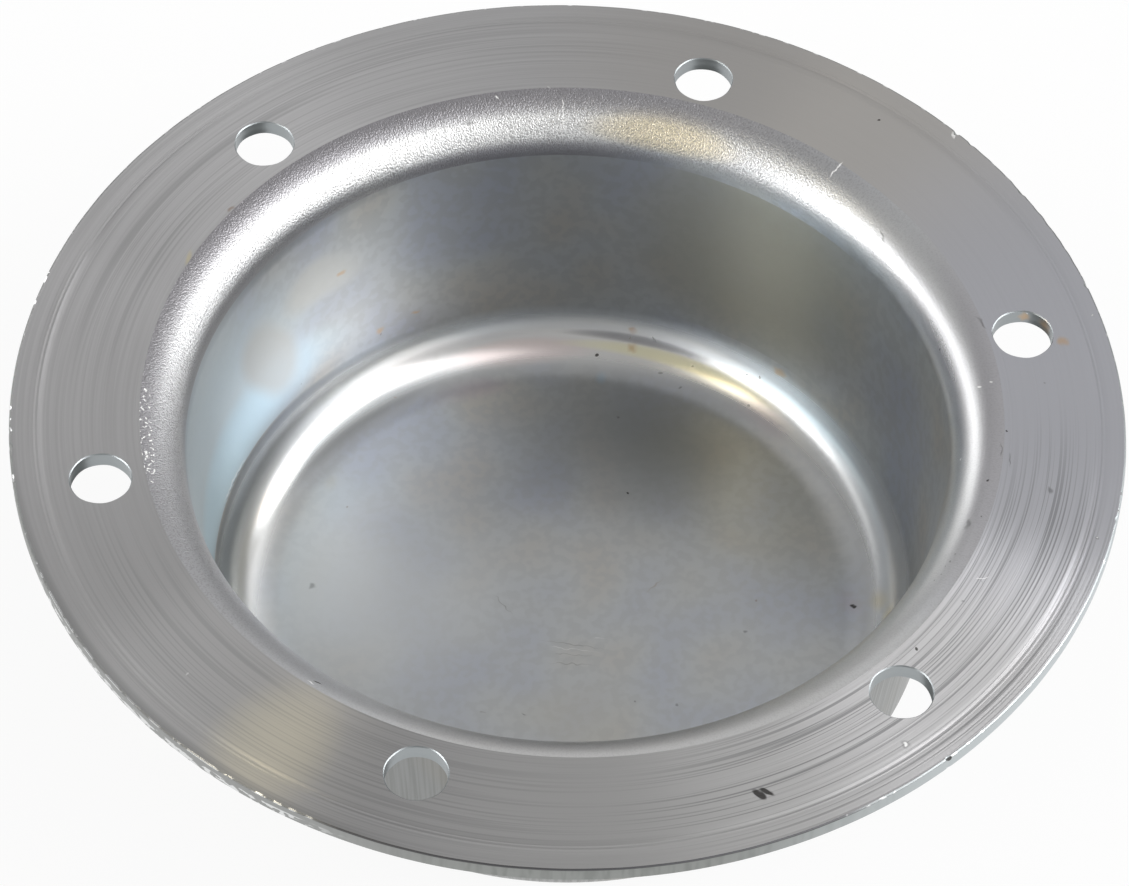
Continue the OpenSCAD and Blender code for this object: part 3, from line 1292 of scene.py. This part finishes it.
# Bands of the inner side. The burnished ones are brighter, smoother metal all round and the lilac border
# is a tint; all the others are painted highlights and painted shade, laid where the bend, the wall and
# the fillet reflect the lamps, some with a tint of their own.
INNER_TINTS_AND_PAINTED_LIGHT = (
    Band("burnished fillet", (0.72, 0.73, 0.735), 0.95, 0.0, 3600.0, -44.2, 4.6, roughen=-0.07),
    Band("burnished lip", (0.66, 0.665, 0.67), 1.0, 0.0, 3600.0, -2.6, 4.6),
    # Painted highlight on the far stretch of the lip.
    Band("bright far stretch of the lip", (0.86, 0.86, 0.855), 0.95, 96.0, 46.0, -3.4, 2.7),
    # Painted shade that dims the lip's highlight on the left.
    Band("shaded left stretch of the lip", (0.43, 0.43, 0.445), 0.80, 194.0, 46.0, -2.0, 6.0),
    # Painted shade that dims the lip on the near side.
    Band("shaded near stretch of the lip", (0.60, 0.595, 0.59), 0.90, -94.0, 50.0, -2.0, 6.0),
    # Painted shade that dims and narrows the lip's highlight on the right.
    Band("shaded right stretch of the lip", (0.50, 0.50, 0.51), 0.80, 2.0, 32.0, -3.4, 2.8, roughen=-0.08),
    Band("lilac border at the right", (0.50, 0.49, 0.515), 0.85, -14.0, 42.0, 0.1, 1.5),
    # Painted golden highlight: a warm reflection laid into the lip's colour.
    Band("golden highlight on the lip", (0.80, 0.70, 0.48), 0.75, 63.0, 14.0, -2.9, 2.8),
    # Painted shade along the lip's upper border, which narrows its highlight.
    Band("shaded border of the lip", (0.31, 0.30, 0.32), 0.92, 112.0, 98.0, 0.2, 2.3),
    # Painted shade on the inner side of the left lip, which narrows its highlight.
    Band("shaded inner side of the left lip", (0.34, 0.34, 0.35), 0.85, 134.0, 52.0, -7.0, 2.9),
    # Painted shadow under the left lip, at the top of the wall.
    Band("dark foot of the left lip", (0.24, 0.25, 0.27), 0.65, 158.0, 62.0, -7.6, 2.2),
    # Painted shade at the foot of the far lip.
    Band("shaded foot of the far lip", (0.30, 0.29, 0.32), 0.70, 84.0, 27.0, -6.6, 2.4),
    # Warm tint and painted shade, which dims a reflection on the wall.
    Band("warm, shaded stretch of the wall", (0.39, 0.38, 0.325), 0.90, 44.0, 27.0, -20.0, 26.0),
    # Blue bands painted brighter than the wall: partly the plating's own tint, partly a painted bluish
    # reflection.
    Band("blue tint and light on the left wall", (0.67, 0.76, 0.80), 0.88, 158.0, 40.0, -25.0, 26.0),
    Band("blue tint and light at the left wall's foot", (0.65, 0.82, 0.91), 0.88, 152.0, 38.0, -33.0, 9.0),
    # Painted shade on the upper part of the left fillet.
    Band("shaded top of the left fillet", (0.36, 0.385, 0.40), 0.90, 168.0, 42.0, -42.6, 3.0),
    # Painted dark reflection between the left wall and the fillet's highlight.
    Band("dark line over the left fillet", (0.22, 0.235, 0.25), 0.70, 142.0, 48.0, -40.4, 1.3),
    # Painted shade that narrows the left fillet's highlight.
    Band("shaded inner border of the left fillet", (0.29, 0.30, 0.305), 0.92, 124.0, 30.0, -46.9, 1.2),
    # Painted highlights on the left, far left and far stretch of the fillet.
    Band("bright line, left fillet", (0.97, 0.97, 0.96), 0.95, 158.0, 28.0, -46.5, 1.5, roughen=-0.06),
    Band("bright far left of the fillet", (0.96, 0.94, 0.93), 0.92, 106.0, 17.0, -44.6, 2.4),
    Band("brighter far stretch of the fillet", (0.90, 0.89, 0.87), 0.92, 68.0, 34.0, -44.6, 3.3),
    # Painted pink, yellow and warm highlights along the fillet's edges.
    Band("pink highlight on the far fillet", (0.84, 0.73, 0.71), 0.80, 86.0, 17.0, -46.1, 1.6),
    Band("yellow highlight on the far fillet", (1.0, 0.95, 0.68), 0.90, 56.0, 25.0, -45.6, 0.95),
    Band("warm highlight on the left fillet", (0.76, 0.62, 0.46), 0.60, 128.0, 30.0, -46.0, 0.7),
    # Painted dark reflection along the far fillet.
    Band("dark reflection along the far fillet", (0.24, 0.24, 0.26), 0.65, 64.5, 15.0, -44.3, 0.75),
)


@dataclass(frozen=True)
class TurnedFinish:
    """Bright turned steel: rings about the lathe's centre, which spread light along the radius.

    The tool leaves each ring with a long flank that leans outwards, so that the whole face
    leans a little in its shading.  A range gives the two noise values between which a layer
    goes from none to all, and a share says how strongly the layer counts.
    """

    sizes: CapSizes
    colour: Colour = (0.535, 0.53, 0.535)
    # Painted shade of the tool's grooves: dark lines laid fully only within the scored bands.
    groove_shade: Colour = (0.20, 0.20, 0.205)
    roughness: float = 0.32
    anisotropy: float = 0.97
    lean: float = 0.12
    tool_offset: tuple[float, float, float] = (0.24 * MM, 0.09 * MM, 0.0)
    fine: Rings = Rings(0.42 * MM, 2.0, 1.0)
    fine_range: Pair = (0.3, 0.7)
    fine_tones: Pair = (0.95, 1.04)
    wide: Rings = Rings(1.30 * MM, 1.0, 1.0)
    grooves: Rings = Rings(0.70 * MM, 0.8, 0.0)
    groove_range: Pair = (0.68, 0.80)
    groove_share: float = 0.90
    thin: Rings = Rings(0.30 * MM, 1.3, 1.0)
    thin_range: Pair = (0.51, 0.63)
    thin_share: float = 0.66
    depth: float = 0.016 * MM
    wide_relief: float = 1.4
    groove_relief: float = 0.5
    unscored: float = 0.03
    scored_depth: float = 2.1
    # The scored bands lie over the bright reflection wedges; there the grooves get their painted shade
    # and a deeper relief.
    scored: tuple[Band, ...] = (
        Band("scored by the tool, near right", WHITE, 1.0, 304.0, 50.0, 73.0, 16.0, flat=True),
        Band("scored by the tool, far left", WHITE, 0.40, 118.0, 66.0, 72.0, 15.0, flat=True),
        Band("scored a little, near left", WHITE, 0.40, 224.0, 50.0, 73.0, 20.0, flat=True),
    )
    # Tints and painted light of the face: the far right is darkened as painted shade with a brown tint,
    # the right is slightly darkened with a blue tint, the near left is darkened as painted shade, the
    # near side is paled as painted light, the yellowish near left is a painted warm sheen, and the rolled
    # edge at the left is painted shade of a rollover that the mesh doesn't have.
    tints_and_painted_light: tuple[Band, ...] = (
        Band("browner, darker far right", (0.49, 0.475, 0.46), 0.95, 42.0, 44.0, 72.0, 40.0, flat=True),
        Band("bluer right", (0.505, 0.51, 0.55), 0.90, -8.0, 44.0, 72.0, 40.0, flat=True),
        Band("darker near left", (0.475, 0.47, 0.47), 0.90, 214.0, 40.0, 72.0, 40.0, flat=True),
        Band("yellowish sheen, near left", (0.60, 0.57, 0.485), 0.75, 224.0, 8.0, 74.0, 14.0, flat=True),
        Band("shade of the rolled edge at the left", (0.31, 0.31, 0.31), 0.75, 208.0, 44.0, 82.4, 1.8, flat=True),
        Band("paler near side", (0.60, 0.595, 0.59), 0.90, -95.0, 30.0, 72.0, 40.0, flat=True),
    )

    def material(self) -> bpy.types.Material:
        """Makes the material, whose tangent points away from the axis.

        Returns:
            The material.
        """
        g = Graph("turned_face")
        place = RoundCoords(g)
        flat = g.vector("MULTIPLY", g.vector("SUBTRACT", g.coords, self.tool_offset), (1.0, 1.0, 0.0))
        across = g.length(flat)
        fine = place.lines(across, self.fine)
        wide = place.lines(across, self.wide)
        deep = g.ramp(place.lines(across, self.grooves), *self.groove_range)
        dim, light = ([part * tone for part in self.colour] for tone in self.fine_tones)
        base = g.mix(g.ramp(fine, *self.fine_range), dim, light)
        # Lays the tints and the painted light and shade of the face.
        for tone_band in self.tints_and_painted_light:
            base = g.mix(tone_band.mask(place), base, tone_band.colour)
        thin = g.ramp(place.lines(across, self.thin), *self.thin_range)
        rough = None
        for band in self.scored:
            rough = band.mask(place) if rough is None else g.maths("MAXIMUM", rough, band.mask(place))
        deep_score = g.maths("MULTIPLY", deep, self.groove_share)
        dark = g.maths("MAXIMUM", deep_score, g.maths("MULTIPLY", thin, self.thin_share))
        dark = g.maths("MULTIPLY", dark, g.ramp(rough, 0.0, 1.0, self.unscored, 1.0))
        # Lays the grooves' painted shade.
        base = g.mix(dark, base, self.groove_shade)
        soiling_and_light = SoilingAndPaintedLight(g, self.sizes, base, self.roughness)
        soiling_and_light.lay(TURNED_MARKS)
        relief = g.maths("MULTIPLY_ADD", wide, self.wide_relief, fine)
        relief = g.maths("SUBTRACT", relief, g.maths("MULTIPLY", deep, self.groove_relief))
        relief = g.maths("MULTIPLY", relief, g.ramp(rough, 0.0, 1.0, 1.0, self.scored_depth))
        normal = g.node("NewGeometry", {}).outputs["Normal"]
        leaning = g.vector("NORMALIZE", g.vector("ADD", normal, g.scaled(place.outward, self.lean)))
        return g.metal(soiling_and_light.colour, soiling_and_light.roughness, {
            "Anisotropic": self.anisotropy,
            "Tangent": place.outward,
            "Normal": g.bump(relief, self.depth, {"Normal": leaning}),
        })


@dataclass(frozen=True)
class PressedFinish:
    """Zinc plating on the drawn inner side: satin and tinged, with painted highlights and shade laid into
    its colour, and frosted where the bend stretched.

    The inner side is dressed in stretches, each with its own material and its own marks.  A
    range gives the two noise values between which a layer goes from none to all.
    """

    sizes: CapSizes
    name: str
    low: float
    high: float
    frosted: bool = False
    colour: Colour = (0.525, 0.54, 0.545)
    warm: Colour = (0.53, 0.51, 0.475)
    fine: Colour = (0.43, 0.44, 0.445)
    cool: Colour = (0.475, 0.50, 0.56)
    cloud_scale: float = 62.0
    cool_range: Pair = (0.42, 0.70)
    warm_range: Pair = (0.50, 0.25)
    fine_scale: float = 560.0
    fine_range: Pair = (0.42, 0.60)
    fine_share: float = 0.40
    roughness: float = 0.32
    frost_tone: Colour = (0.27, 0.26, 0.27)
    frost_roughness: float = 0.08
    frost_width: float = 0.24 * MM
    frost_length: float = 0.40 * MM
    frost_range: Pair = (0.54, 0.36)
    frost_share: float = 0.55
    frost_depth: float = 0.130 * MM
    frosted_most: Band = Band("frosted most", WHITE, 1.0, 122.0, 112.0, -2.0, 12.0)
    most_range: Pair = (0.0, 0.8)
    frost_least: float = 0.22
    frost_from: float = -9.0 * MM
    frost_full: float = -4.0 * MM
    worn_and_painted_light: Band = Band("worn lip", WHITE, 1.0, 173.5, 10.0, 62.5, 1.3, flat=True)
    worn_from: float = 0.2
    speck_scale: float = 2300.0
    speck_range: Pair = (0.60, 0.66)
    speck_colour: Colour = (0.98, 0.98, 0.97)
    speck_roughen: float = 0.30

    def material(self) -> bpy.types.Material:
        """Makes the stretch's material.

        Returns:
            The material.
        """
        g = Graph(self.name)
        place = RoundCoords(g)
        clouds = g.noise(g.coords, self.cloud_scale, 1.0)
        base = g.mix(g.ramp(clouds, *self.cool_range), self.colour, self.cool)
        base = g.mix(g.ramp(clouds, *self.warm_range), base, self.warm)
        mottling = g.noise(g.coords, self.fine_scale, 1.0)
        base = g.mix(g.ramp(mottling, *self.fine_range, 0.0, self.fine_share), base, self.fine)
        soiling_and_light = SoilingAndPaintedLight(g, self.sizes, base, self.roughness)
        # Lays the tints and the painted highlights and shade of this stretch.
        soiling_and_light.tint_and_paint_light(place, tuple(b for b in INNER_TINTS_AND_PAINTED_LIGHT if self.low < b.middle < self.high))
        soiling_and_light.lay(tuple(m for m in PRESSED_MARKS if m.touches(self.low, self.high)))
        inputs = {}
        if self.frosted:
            frost = g.ramp(place.height, self.frost_from, self.frost_full)
            along = g.maths("ADD", place.radius, place.height)
            grain = place.streaks(along, self.frost_width, self.frost_length)
            most = g.ramp(self.frosted_most.mask(place), *self.most_range, self.frost_least, 1.0)
            frost = g.maths("MULTIPLY", frost, most)
            shade = g.ramp(grain, *self.frost_range, 0.0, self.frost_share)
            shade = g.maths("MULTIPLY", shade, frost)
            soiling_and_light.colour = g.mix(shade, soiling_and_light.colour, self.frost_tone)
            soiling_and_light.roughness = g.maths("MULTIPLY_ADD", frost, self.frost_roughness, soiling_and_light.roughness)
            self.sparkle(soiling_and_light, place)
            inputs["Normal"] = g.bump(g.maths("MULTIPLY", grain, frost), self.frost_depth, {})
        return g.metal(soiling_and_light.colour, soiling_and_light.roughness, inputs)

    def sparkle(self, soiling_and_light: SoilingAndPaintedLight, place: RoundCoords) -> None:
        """Lays the worn, glinting specks on the left of the lip.

        Args:
            soiling_and_light: The finish so far.
            place: The surface point's place about the axis.
        """
        g = place.graph
        worn_and_painted_light = g.maths("GREATER_THAN", self.worn_and_painted_light.mask(place), self.worn_from)
        specks = g.ramp(g.noise(g.coords, self.speck_scale, 1.0), *self.speck_range)
        share = g.maths("MULTIPLY", specks, worn_and_painted_light)
        soiling_and_light.colour = g.mix(share, soiling_and_light.colour, self.speck_colour)
        soiling_and_light.roughness = g.maths("MULTIPLY_ADD", share, self.speck_roughen, soiling_and_light.roughness)


@dataclass(frozen=True)
class OutsideFinish:
    """Zinc plating on the drawn outer side: grey, kept darker as painted shade, with the die's streaks
    down the wall.

    A range gives the two noise values between which a layer goes from none to all.
    """

    # Colours darkened as painted shade: the real floor under the flange lies in shade, while the scene's
    # floor glows evenly to reflections.
    colour: Colour = (0.27, 0.276, 0.274)
    shade: Colour = (0.24, 0.246, 0.24)
    warm: Colour = (0.285, 0.27, 0.235)
    cloud_scale: float = 38.0
    cloud_range: Pair = (0.5, 0.7)
    cloud_share: float = 0.45
    roughness: Pair = (0.40, 0.30)
    streak_width: float = 0.45 * MM
    streak_length: float = 26.0 * MM
    streak_range: Pair = (0.35, 0.7)
    gloss_range: Pair = (0.3, 0.7)
    depth: float = 0.005 * MM
    drawn_from: float = -50.5 * MM
    drawn_full: float = -42.0 * MM

    def material(self) -> bpy.types.Material:
        """Makes the material.

        Returns:
            The material.
        """
        g = Graph("pressed_outside")
        place = RoundCoords(g)
        along = g.maths("ADD", place.radius, place.height)
        drawn = g.ramp(place.height, self.drawn_from, self.drawn_full)
        streaks = place.streaks(along, self.streak_width, self.streak_length)
        streaks = g.maths("SUBTRACT", streaks, NOISE_MIDDLE)
        streaks = g.maths("MULTIPLY_ADD", streaks, drawn, NOISE_MIDDLE)
        clouds = g.noise(g.coords, self.cloud_scale, 1.0)
        base = g.mix(g.ramp(streaks, *self.streak_range), self.shade, self.colour)
        base = g.mix(g.ramp(clouds, *self.cloud_range, 0.0, self.cloud_share), base, self.warm)
        roughness = g.ramp(streaks, *self.gloss_range, *self.roughness)
        return g.metal(base, roughness, {"Normal": g.bump(streaks, self.depth, {})})


@dataclass(frozen=True)
class CutFinish:
    """Sheared metal of the rim and of the punched holes, with a broken edge above it: bright flecks
    painted as glints, most on the left as a painted highlight, and a dark worn edge, darkest on the near
    side as a painted dark reflection.

    A range gives the two values between which a layer goes from none to all.
    """

    sizes: CapSizes
    side: Colour = (0.30, 0.31, 0.30)
    torn: Colour = (0.25, 0.26, 0.25)
    # Dark of the rim's top edge: partly wear, and on the near side, where it is full, a painted dark
    # reflection.
    worn_and_painted_light: Colour = (0.13, 0.13, 0.135)
    hole: Colour = (0.35, 0.375, 0.385)
    # Painted light on the rim's right side and painted shade on its left.
    tints_and_painted_light: tuple[Band, ...] = (
        Band("bright right side", (0.60, 0.645, 0.66), 0.9, -38.0, 52.0, 81.0, 12.0, flat=True),
        Band("darker left side", (0.36, 0.365, 0.36), 0.85, 216.0, 36.0, 81.0, 12.0, flat=True),
    )
    # On the near side the edge has no flecks and its full painted dark reflection.
    quiet: Band = Band("near side without flecks", WHITE, 1.0, -100.0, 34.0, 81.0, 30.0, flat=True)
    quiet_range: Pair = (0.0, 0.6)
    # Painted highlight on the left edge: more bright flecks, and flecks further down the side.
    painted_highlight: Band = Band("highlight on the left edge", WHITE, 1.0, 214.0, 30.0, 81.0, 30.0, flat=True)
    highlight_range: Pair = (0.2, 0.6)
    highlight_gain: float = 0.10
    flecks: Rings = Rings(0.8 * MM, 44.0, 2.0)
    fleck_range: Pair = (0.58, 0.63)
    tear_scale: float = 1100.0
    tear_stretch: tuple[float, float, float] = (1.0, 1.0, 0.15)
    tear_range: Pair = (0.30, 0.62)
    dark_edge_least: float = 0.35
    # Bright flecks along the rim's top edge, painted glints.
    edge: Colour = (0.74, 0.75, 0.75)
    roughness: float = 0.40
    edge_roughness: float = 0.20
    edge_height: float = 0.24 * MM
    fleck_height: float = 1.2 * MM
    full_at: float = 0.8
    rim_from: float = 79.0 * MM
    depth: float = 0.012 * MM

    def material(self) -> bpy.types.Material:
        """Makes the material.

        Returns:
            The material.
        """
        g = Graph("cut_edge")
        tears = g.noise(g.vector("MULTIPLY", g.coords, self.tear_stretch), self.tear_scale, 1.0)
        place = RoundCoords(g)
        base = g.mix(g.ramp(tears, *self.tear_range), self.torn, self.side)
        for tone_band in self.tints_and_painted_light:
            base = g.mix(tone_band.mask(place), base, tone_band.colour)
        rim = g.maths("GREATER_THAN", place.radius, self.rim_from)
        base = g.mix(rim, self.hole, base)
        above = g.ramp(place.height, -self.edge_height, -self.edge_height * self.full_at)
        above = g.maths("MULTIPLY", above, rim)
        quiet = g.ramp(self.quiet.mask(place), *self.quiet_range)
        # Darkens the top edge: wear, full on the near side as a painted dark reflection.
        worn_and_painted_light = g.maths("MULTIPLY", above, g.ramp(quiet, 0.0, 1.0, self.dark_edge_least, 1.0))
        base = g.mix(worn_and_painted_light, base, self.worn_and_painted_light)
        painted_highlight = self.painted_highlight.mask(place)
        flecks = place.lines(place.height, self.flecks)
        flecks = g.ramp(g.maths("MULTIPLY_ADD", painted_highlight, self.highlight_gain, flecks), *self.fleck_range)
        flecks = g.maths("MULTIPLY", flecks, g.maths("SUBTRACT", 1.0, quiet))
        lower = g.ramp(place.height, -self.fleck_height * self.full_at, -self.fleck_height)
        lower = g.maths("MULTIPLY", lower, g.ramp(painted_highlight, *self.highlight_range))
        share = g.maths("MULTIPLY", g.maths("MAXIMUM", above, lower), flecks)
        share = g.maths("MULTIPLY", share, rim)
        # Lays the painted glints of the edge.
        base = g.mix(share, base, self.edge)
        roughness = g.ramp(share, 0.0, 1.0, self.roughness, self.edge_roughness)
        soiling_and_light = SoilingAndPaintedLight(g, self.sizes, base, roughness)
        soiling_and_light.lay(CUT_MARKS)
        return g.metal(soiling_and_light.colour, soiling_and_light.roughness, {"Normal": g.bump(tears, self.depth, {})})


@dataclass(frozen=True)
class Viewpoint:
    """The photograph's camera: where it stands, what it aims at and how it is tilted."""

    azimuth: float = radians(-103.76)
    elevation: float = radians(50.57)
    distance: float = 0.6951
    aim: tuple[float, float, float] = (-2.13 * MM, -6.92 * MM, 0.0)
    roll: float = radians(1.773)
    lens: float = 149.81
    sensor: float = 36.0
    clip_start: float = 0.05

    def place(self) -> bpy.types.Object:
        """Makes the scene's camera.

        Returns:
            The camera's object.
        """
        across = cos(self.elevation) * self.distance
        spot = Vector((
            across * cos(self.azimuth), across * sin(self.azimuth), sin(self.elevation) * self.distance,
        ))
        back = (spot - Vector(self.aim)).normalized()
        right = Vector((0.0, 0.0, 1.0)).cross(back).normalized()
        up = back.cross(right)
        turn = Matrix((right, up, back)).transposed() @ Matrix.Rotation(self.roll, 3, "Z")
        data = bpy.data.cameras.new("photo_view")
        data.lens = self.lens
        data.sensor_width = self.sensor
        data.clip_start = self.clip_start
        camera = bpy.data.objects.new("photo_view", data)
        camera.matrix_world = Matrix.Translation(spot) @ turn.to_4x4()
        bpy.context.scene.collection.objects.link(camera)
        bpy.context.scene.camera = camera
        return camera


@dataclass(frozen=True)
class Softbox:
    """A large soft lamp that faces the cap from a given direction.

    Its azimuth is in degrees from +X and its spans are the degrees that it fills, as seen from
    the cap; a brightness of 1 makes it look as white as paper in full light.
    """

    name: str
    azimuth: float
    elevation: float
    span: float
    rise: float
    brightness: float
    colour: Colour = WHITE
    distance: float = 1.6

    def hang(self) -> bpy.types.Object:
        """Makes the lamp.

        Returns:
            The lamp's object.
        """
        azimuth, elevation = radians(self.azimuth), radians(self.elevation)
        away = Vector((cos(elevation) * cos(azimuth), cos(elevation) * sin(azimuth), sin(elevation)))
        data = bpy.data.lights.new(self.name, "AREA")
        data.shape = "RECTANGLE"
        data.size = 2 * self.distance * tan(radians(self.span) / 2) * cos(elevation)
        data.size_y = 2 * self.distance * tan(radians(self.rise) / 2)
        data.energy = pi * self.brightness * data.size * data.size_y
        data.color = self.colour
        lamp = bpy.data.objects.new(self.name, data)
        turn = away.to_track_quat("Z", "Y").to_matrix().to_4x4()
        lamp.matrix_world = Matrix.Translation(away * self.distance) @ turn
        lamp.visible_camera = False
        bpy.context.scene.collection.objects.link(lamp)
        return lamp


@dataclass(frozen=True)
class Studio:
    """A pale floor under the cap and a plain surround, which the metal sees as well."""

    floor_colour: Colour = (0.80, 0.80, 0.80)
    floor_side: float = 6.0
    floor_gap: float = 0.05 * MM
    floor_glow: float = 0.91
    surround: Colour = (0.38, 0.38, 0.38)
    softboxes: tuple[Softbox, ...] = (
        Softbox("softbox_right", -18.0, 33.5, 58.0, 29.0, 4.8),
        Softbox("strip_right_low", 1.0, 6.0, 31.0, 12.0, 5.6),
        Softbox("strip_right_front", -53.0, 15.5, 62.0, 7.0, 3.6),
        Softbox("softbox_right_high", -42.0, 56.0, 63.0, 24.0, 1.3),
        Softbox("softbox_left", -171.0, 19.5, 42.0, 15.0, 6.8),
        Softbox("fill_left", 149.0, 19.0, 77.0, 18.0, 2.3, distance=1.8),
        Softbox("fill_back", 61.0, 33.0, 70.0, 34.0, 0.43, distance=1.9),
        Softbox("fill_back_high", 78.0, 67.0, 110.0, 22.0, 0.16),
        Softbox("lamp_warm", -167.0, 50.0, 14.0, 14.0, 4.5, (1.05, 0.94, 0.70)),
    )

    def lay_floor(self, height: float) -> bpy.types.Object:
        """Lays the floor a hair below the cap, so that the two faces don't lie in one plane.

        Args:
            height: The cap's lowest height.

        Returns:
            The floor's object.
        """
        half, level = self.floor_side / 2, height - self.floor_gap
        data = bpy.data.meshes.new("floor")
        signs = ((-1, -1), (1, -1), (1, 1), (-1, 1))
        corners = [(x * half, y * half, level) for x, y in signs]
        data.from_pydata(corners, [], [(0, 1, 2, 3)])
        g = Graph("floor_paper")
        paper = g.node("BsdfDiffuse", {"Color": self.floor_colour})
        glow = g.node("Emission", {"Color": WHITE, "Strength": 1.0})
        path = g.node("LightPath", {})
        seen = g.maths("MAXIMUM", path.outputs["Is Camera Ray"], path.outputs["Is Glossy Ray"])
        seen = g.maths("MAXIMUM", seen, path.outputs["Is Transmission Ray"])
        share = g.maths("MULTIPLY", seen, self.floor_glow)
        mixed = g.node("MixShader", {0: share, 1: paper.outputs[0], 2: glow.outputs[0]})
        data.materials.append(g.finish(mixed))
        floor = bpy.data.objects.new("floor", data)
        bpy.context.scene.collection.objects.link(floor)
        return floor

    def light(self) -> None:
        """Sets the surround, white to the camera, and hangs the lamps."""
        world = bpy.data.worlds.new("surround")
        bpy.context.scene.world = world
        world.use_nodes = True
        nodes, links = world.node_tree.nodes, world.node_tree.links
        nodes.clear()
        dim, white = (nodes.new("ShaderNodeBackground") for _ in range(2))
        dim.inputs["Color"].default_value = (*self.surround, 1.0)
        white.inputs["Color"].default_value = (*WHITE, 1.0)
        path = nodes.new("ShaderNodeLightPath")
        mix = nodes.new("ShaderNodeMixShader")
        out = nodes.new("ShaderNodeOutputWorld")
        links.new(path.outputs["Is Camera Ray"], mix.inputs[0])
        links.new(dim.outputs[0], mix.inputs[1])
        links.new(white.outputs[0], mix.inputs[2])
        links.new(mix.outputs[0], out.inputs["Surface"])
        for softbox in self.softboxes:
            softbox.hang()
            log.info("%s: hung", softbox.name)


def dress(cap: bpy.types.Object, sizes: CapSizes) -> None:
    """Gives the cap its finishes, in the order of Finish.

    Args:
        cap: The shell's object.
        sizes: Sizes that the marks' places are worked out from.
    """
    foot, top = sizes.wall_foot[1] / MM, sizes.wall_top[1] / MM
    for finish in (
        TurnedFinish(sizes),
        PressedFinish(sizes, "pressed_lip", top, 1.0, frosted=True),
        PressedFinish(sizes, "pressed_wall", foot, top, roughness=0.36),
        PressedFinish(sizes, "pressed_floor", -sizes.depth / MM - 1.0, foot),
        OutsideFinish(),
        CutFinish(sizes),
    ):
        cap.data.materials.append(finish.material())


def main() -> None:
    """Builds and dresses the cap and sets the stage."""
    logging.basicConfig(level=logging.INFO, format="%(message)s")
    sizes = read_sizes()
    cap = GreaseCap(sizes).build()
    log.info("cap_shell: %d points, %d faces", len(cap.data.vertices), len(cap.data.polygons))
    dress(cap, sizes)
    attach(cap, BODY)
    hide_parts(NODE)
    Viewpoint().place()
    studio = Studio()
    studio.lay_floor(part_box(NODE)[0].z)
    studio.light()
    bpy.context.scene.view_settings.view_transform = "Standard"


if __name__ == "__main__":
    main()
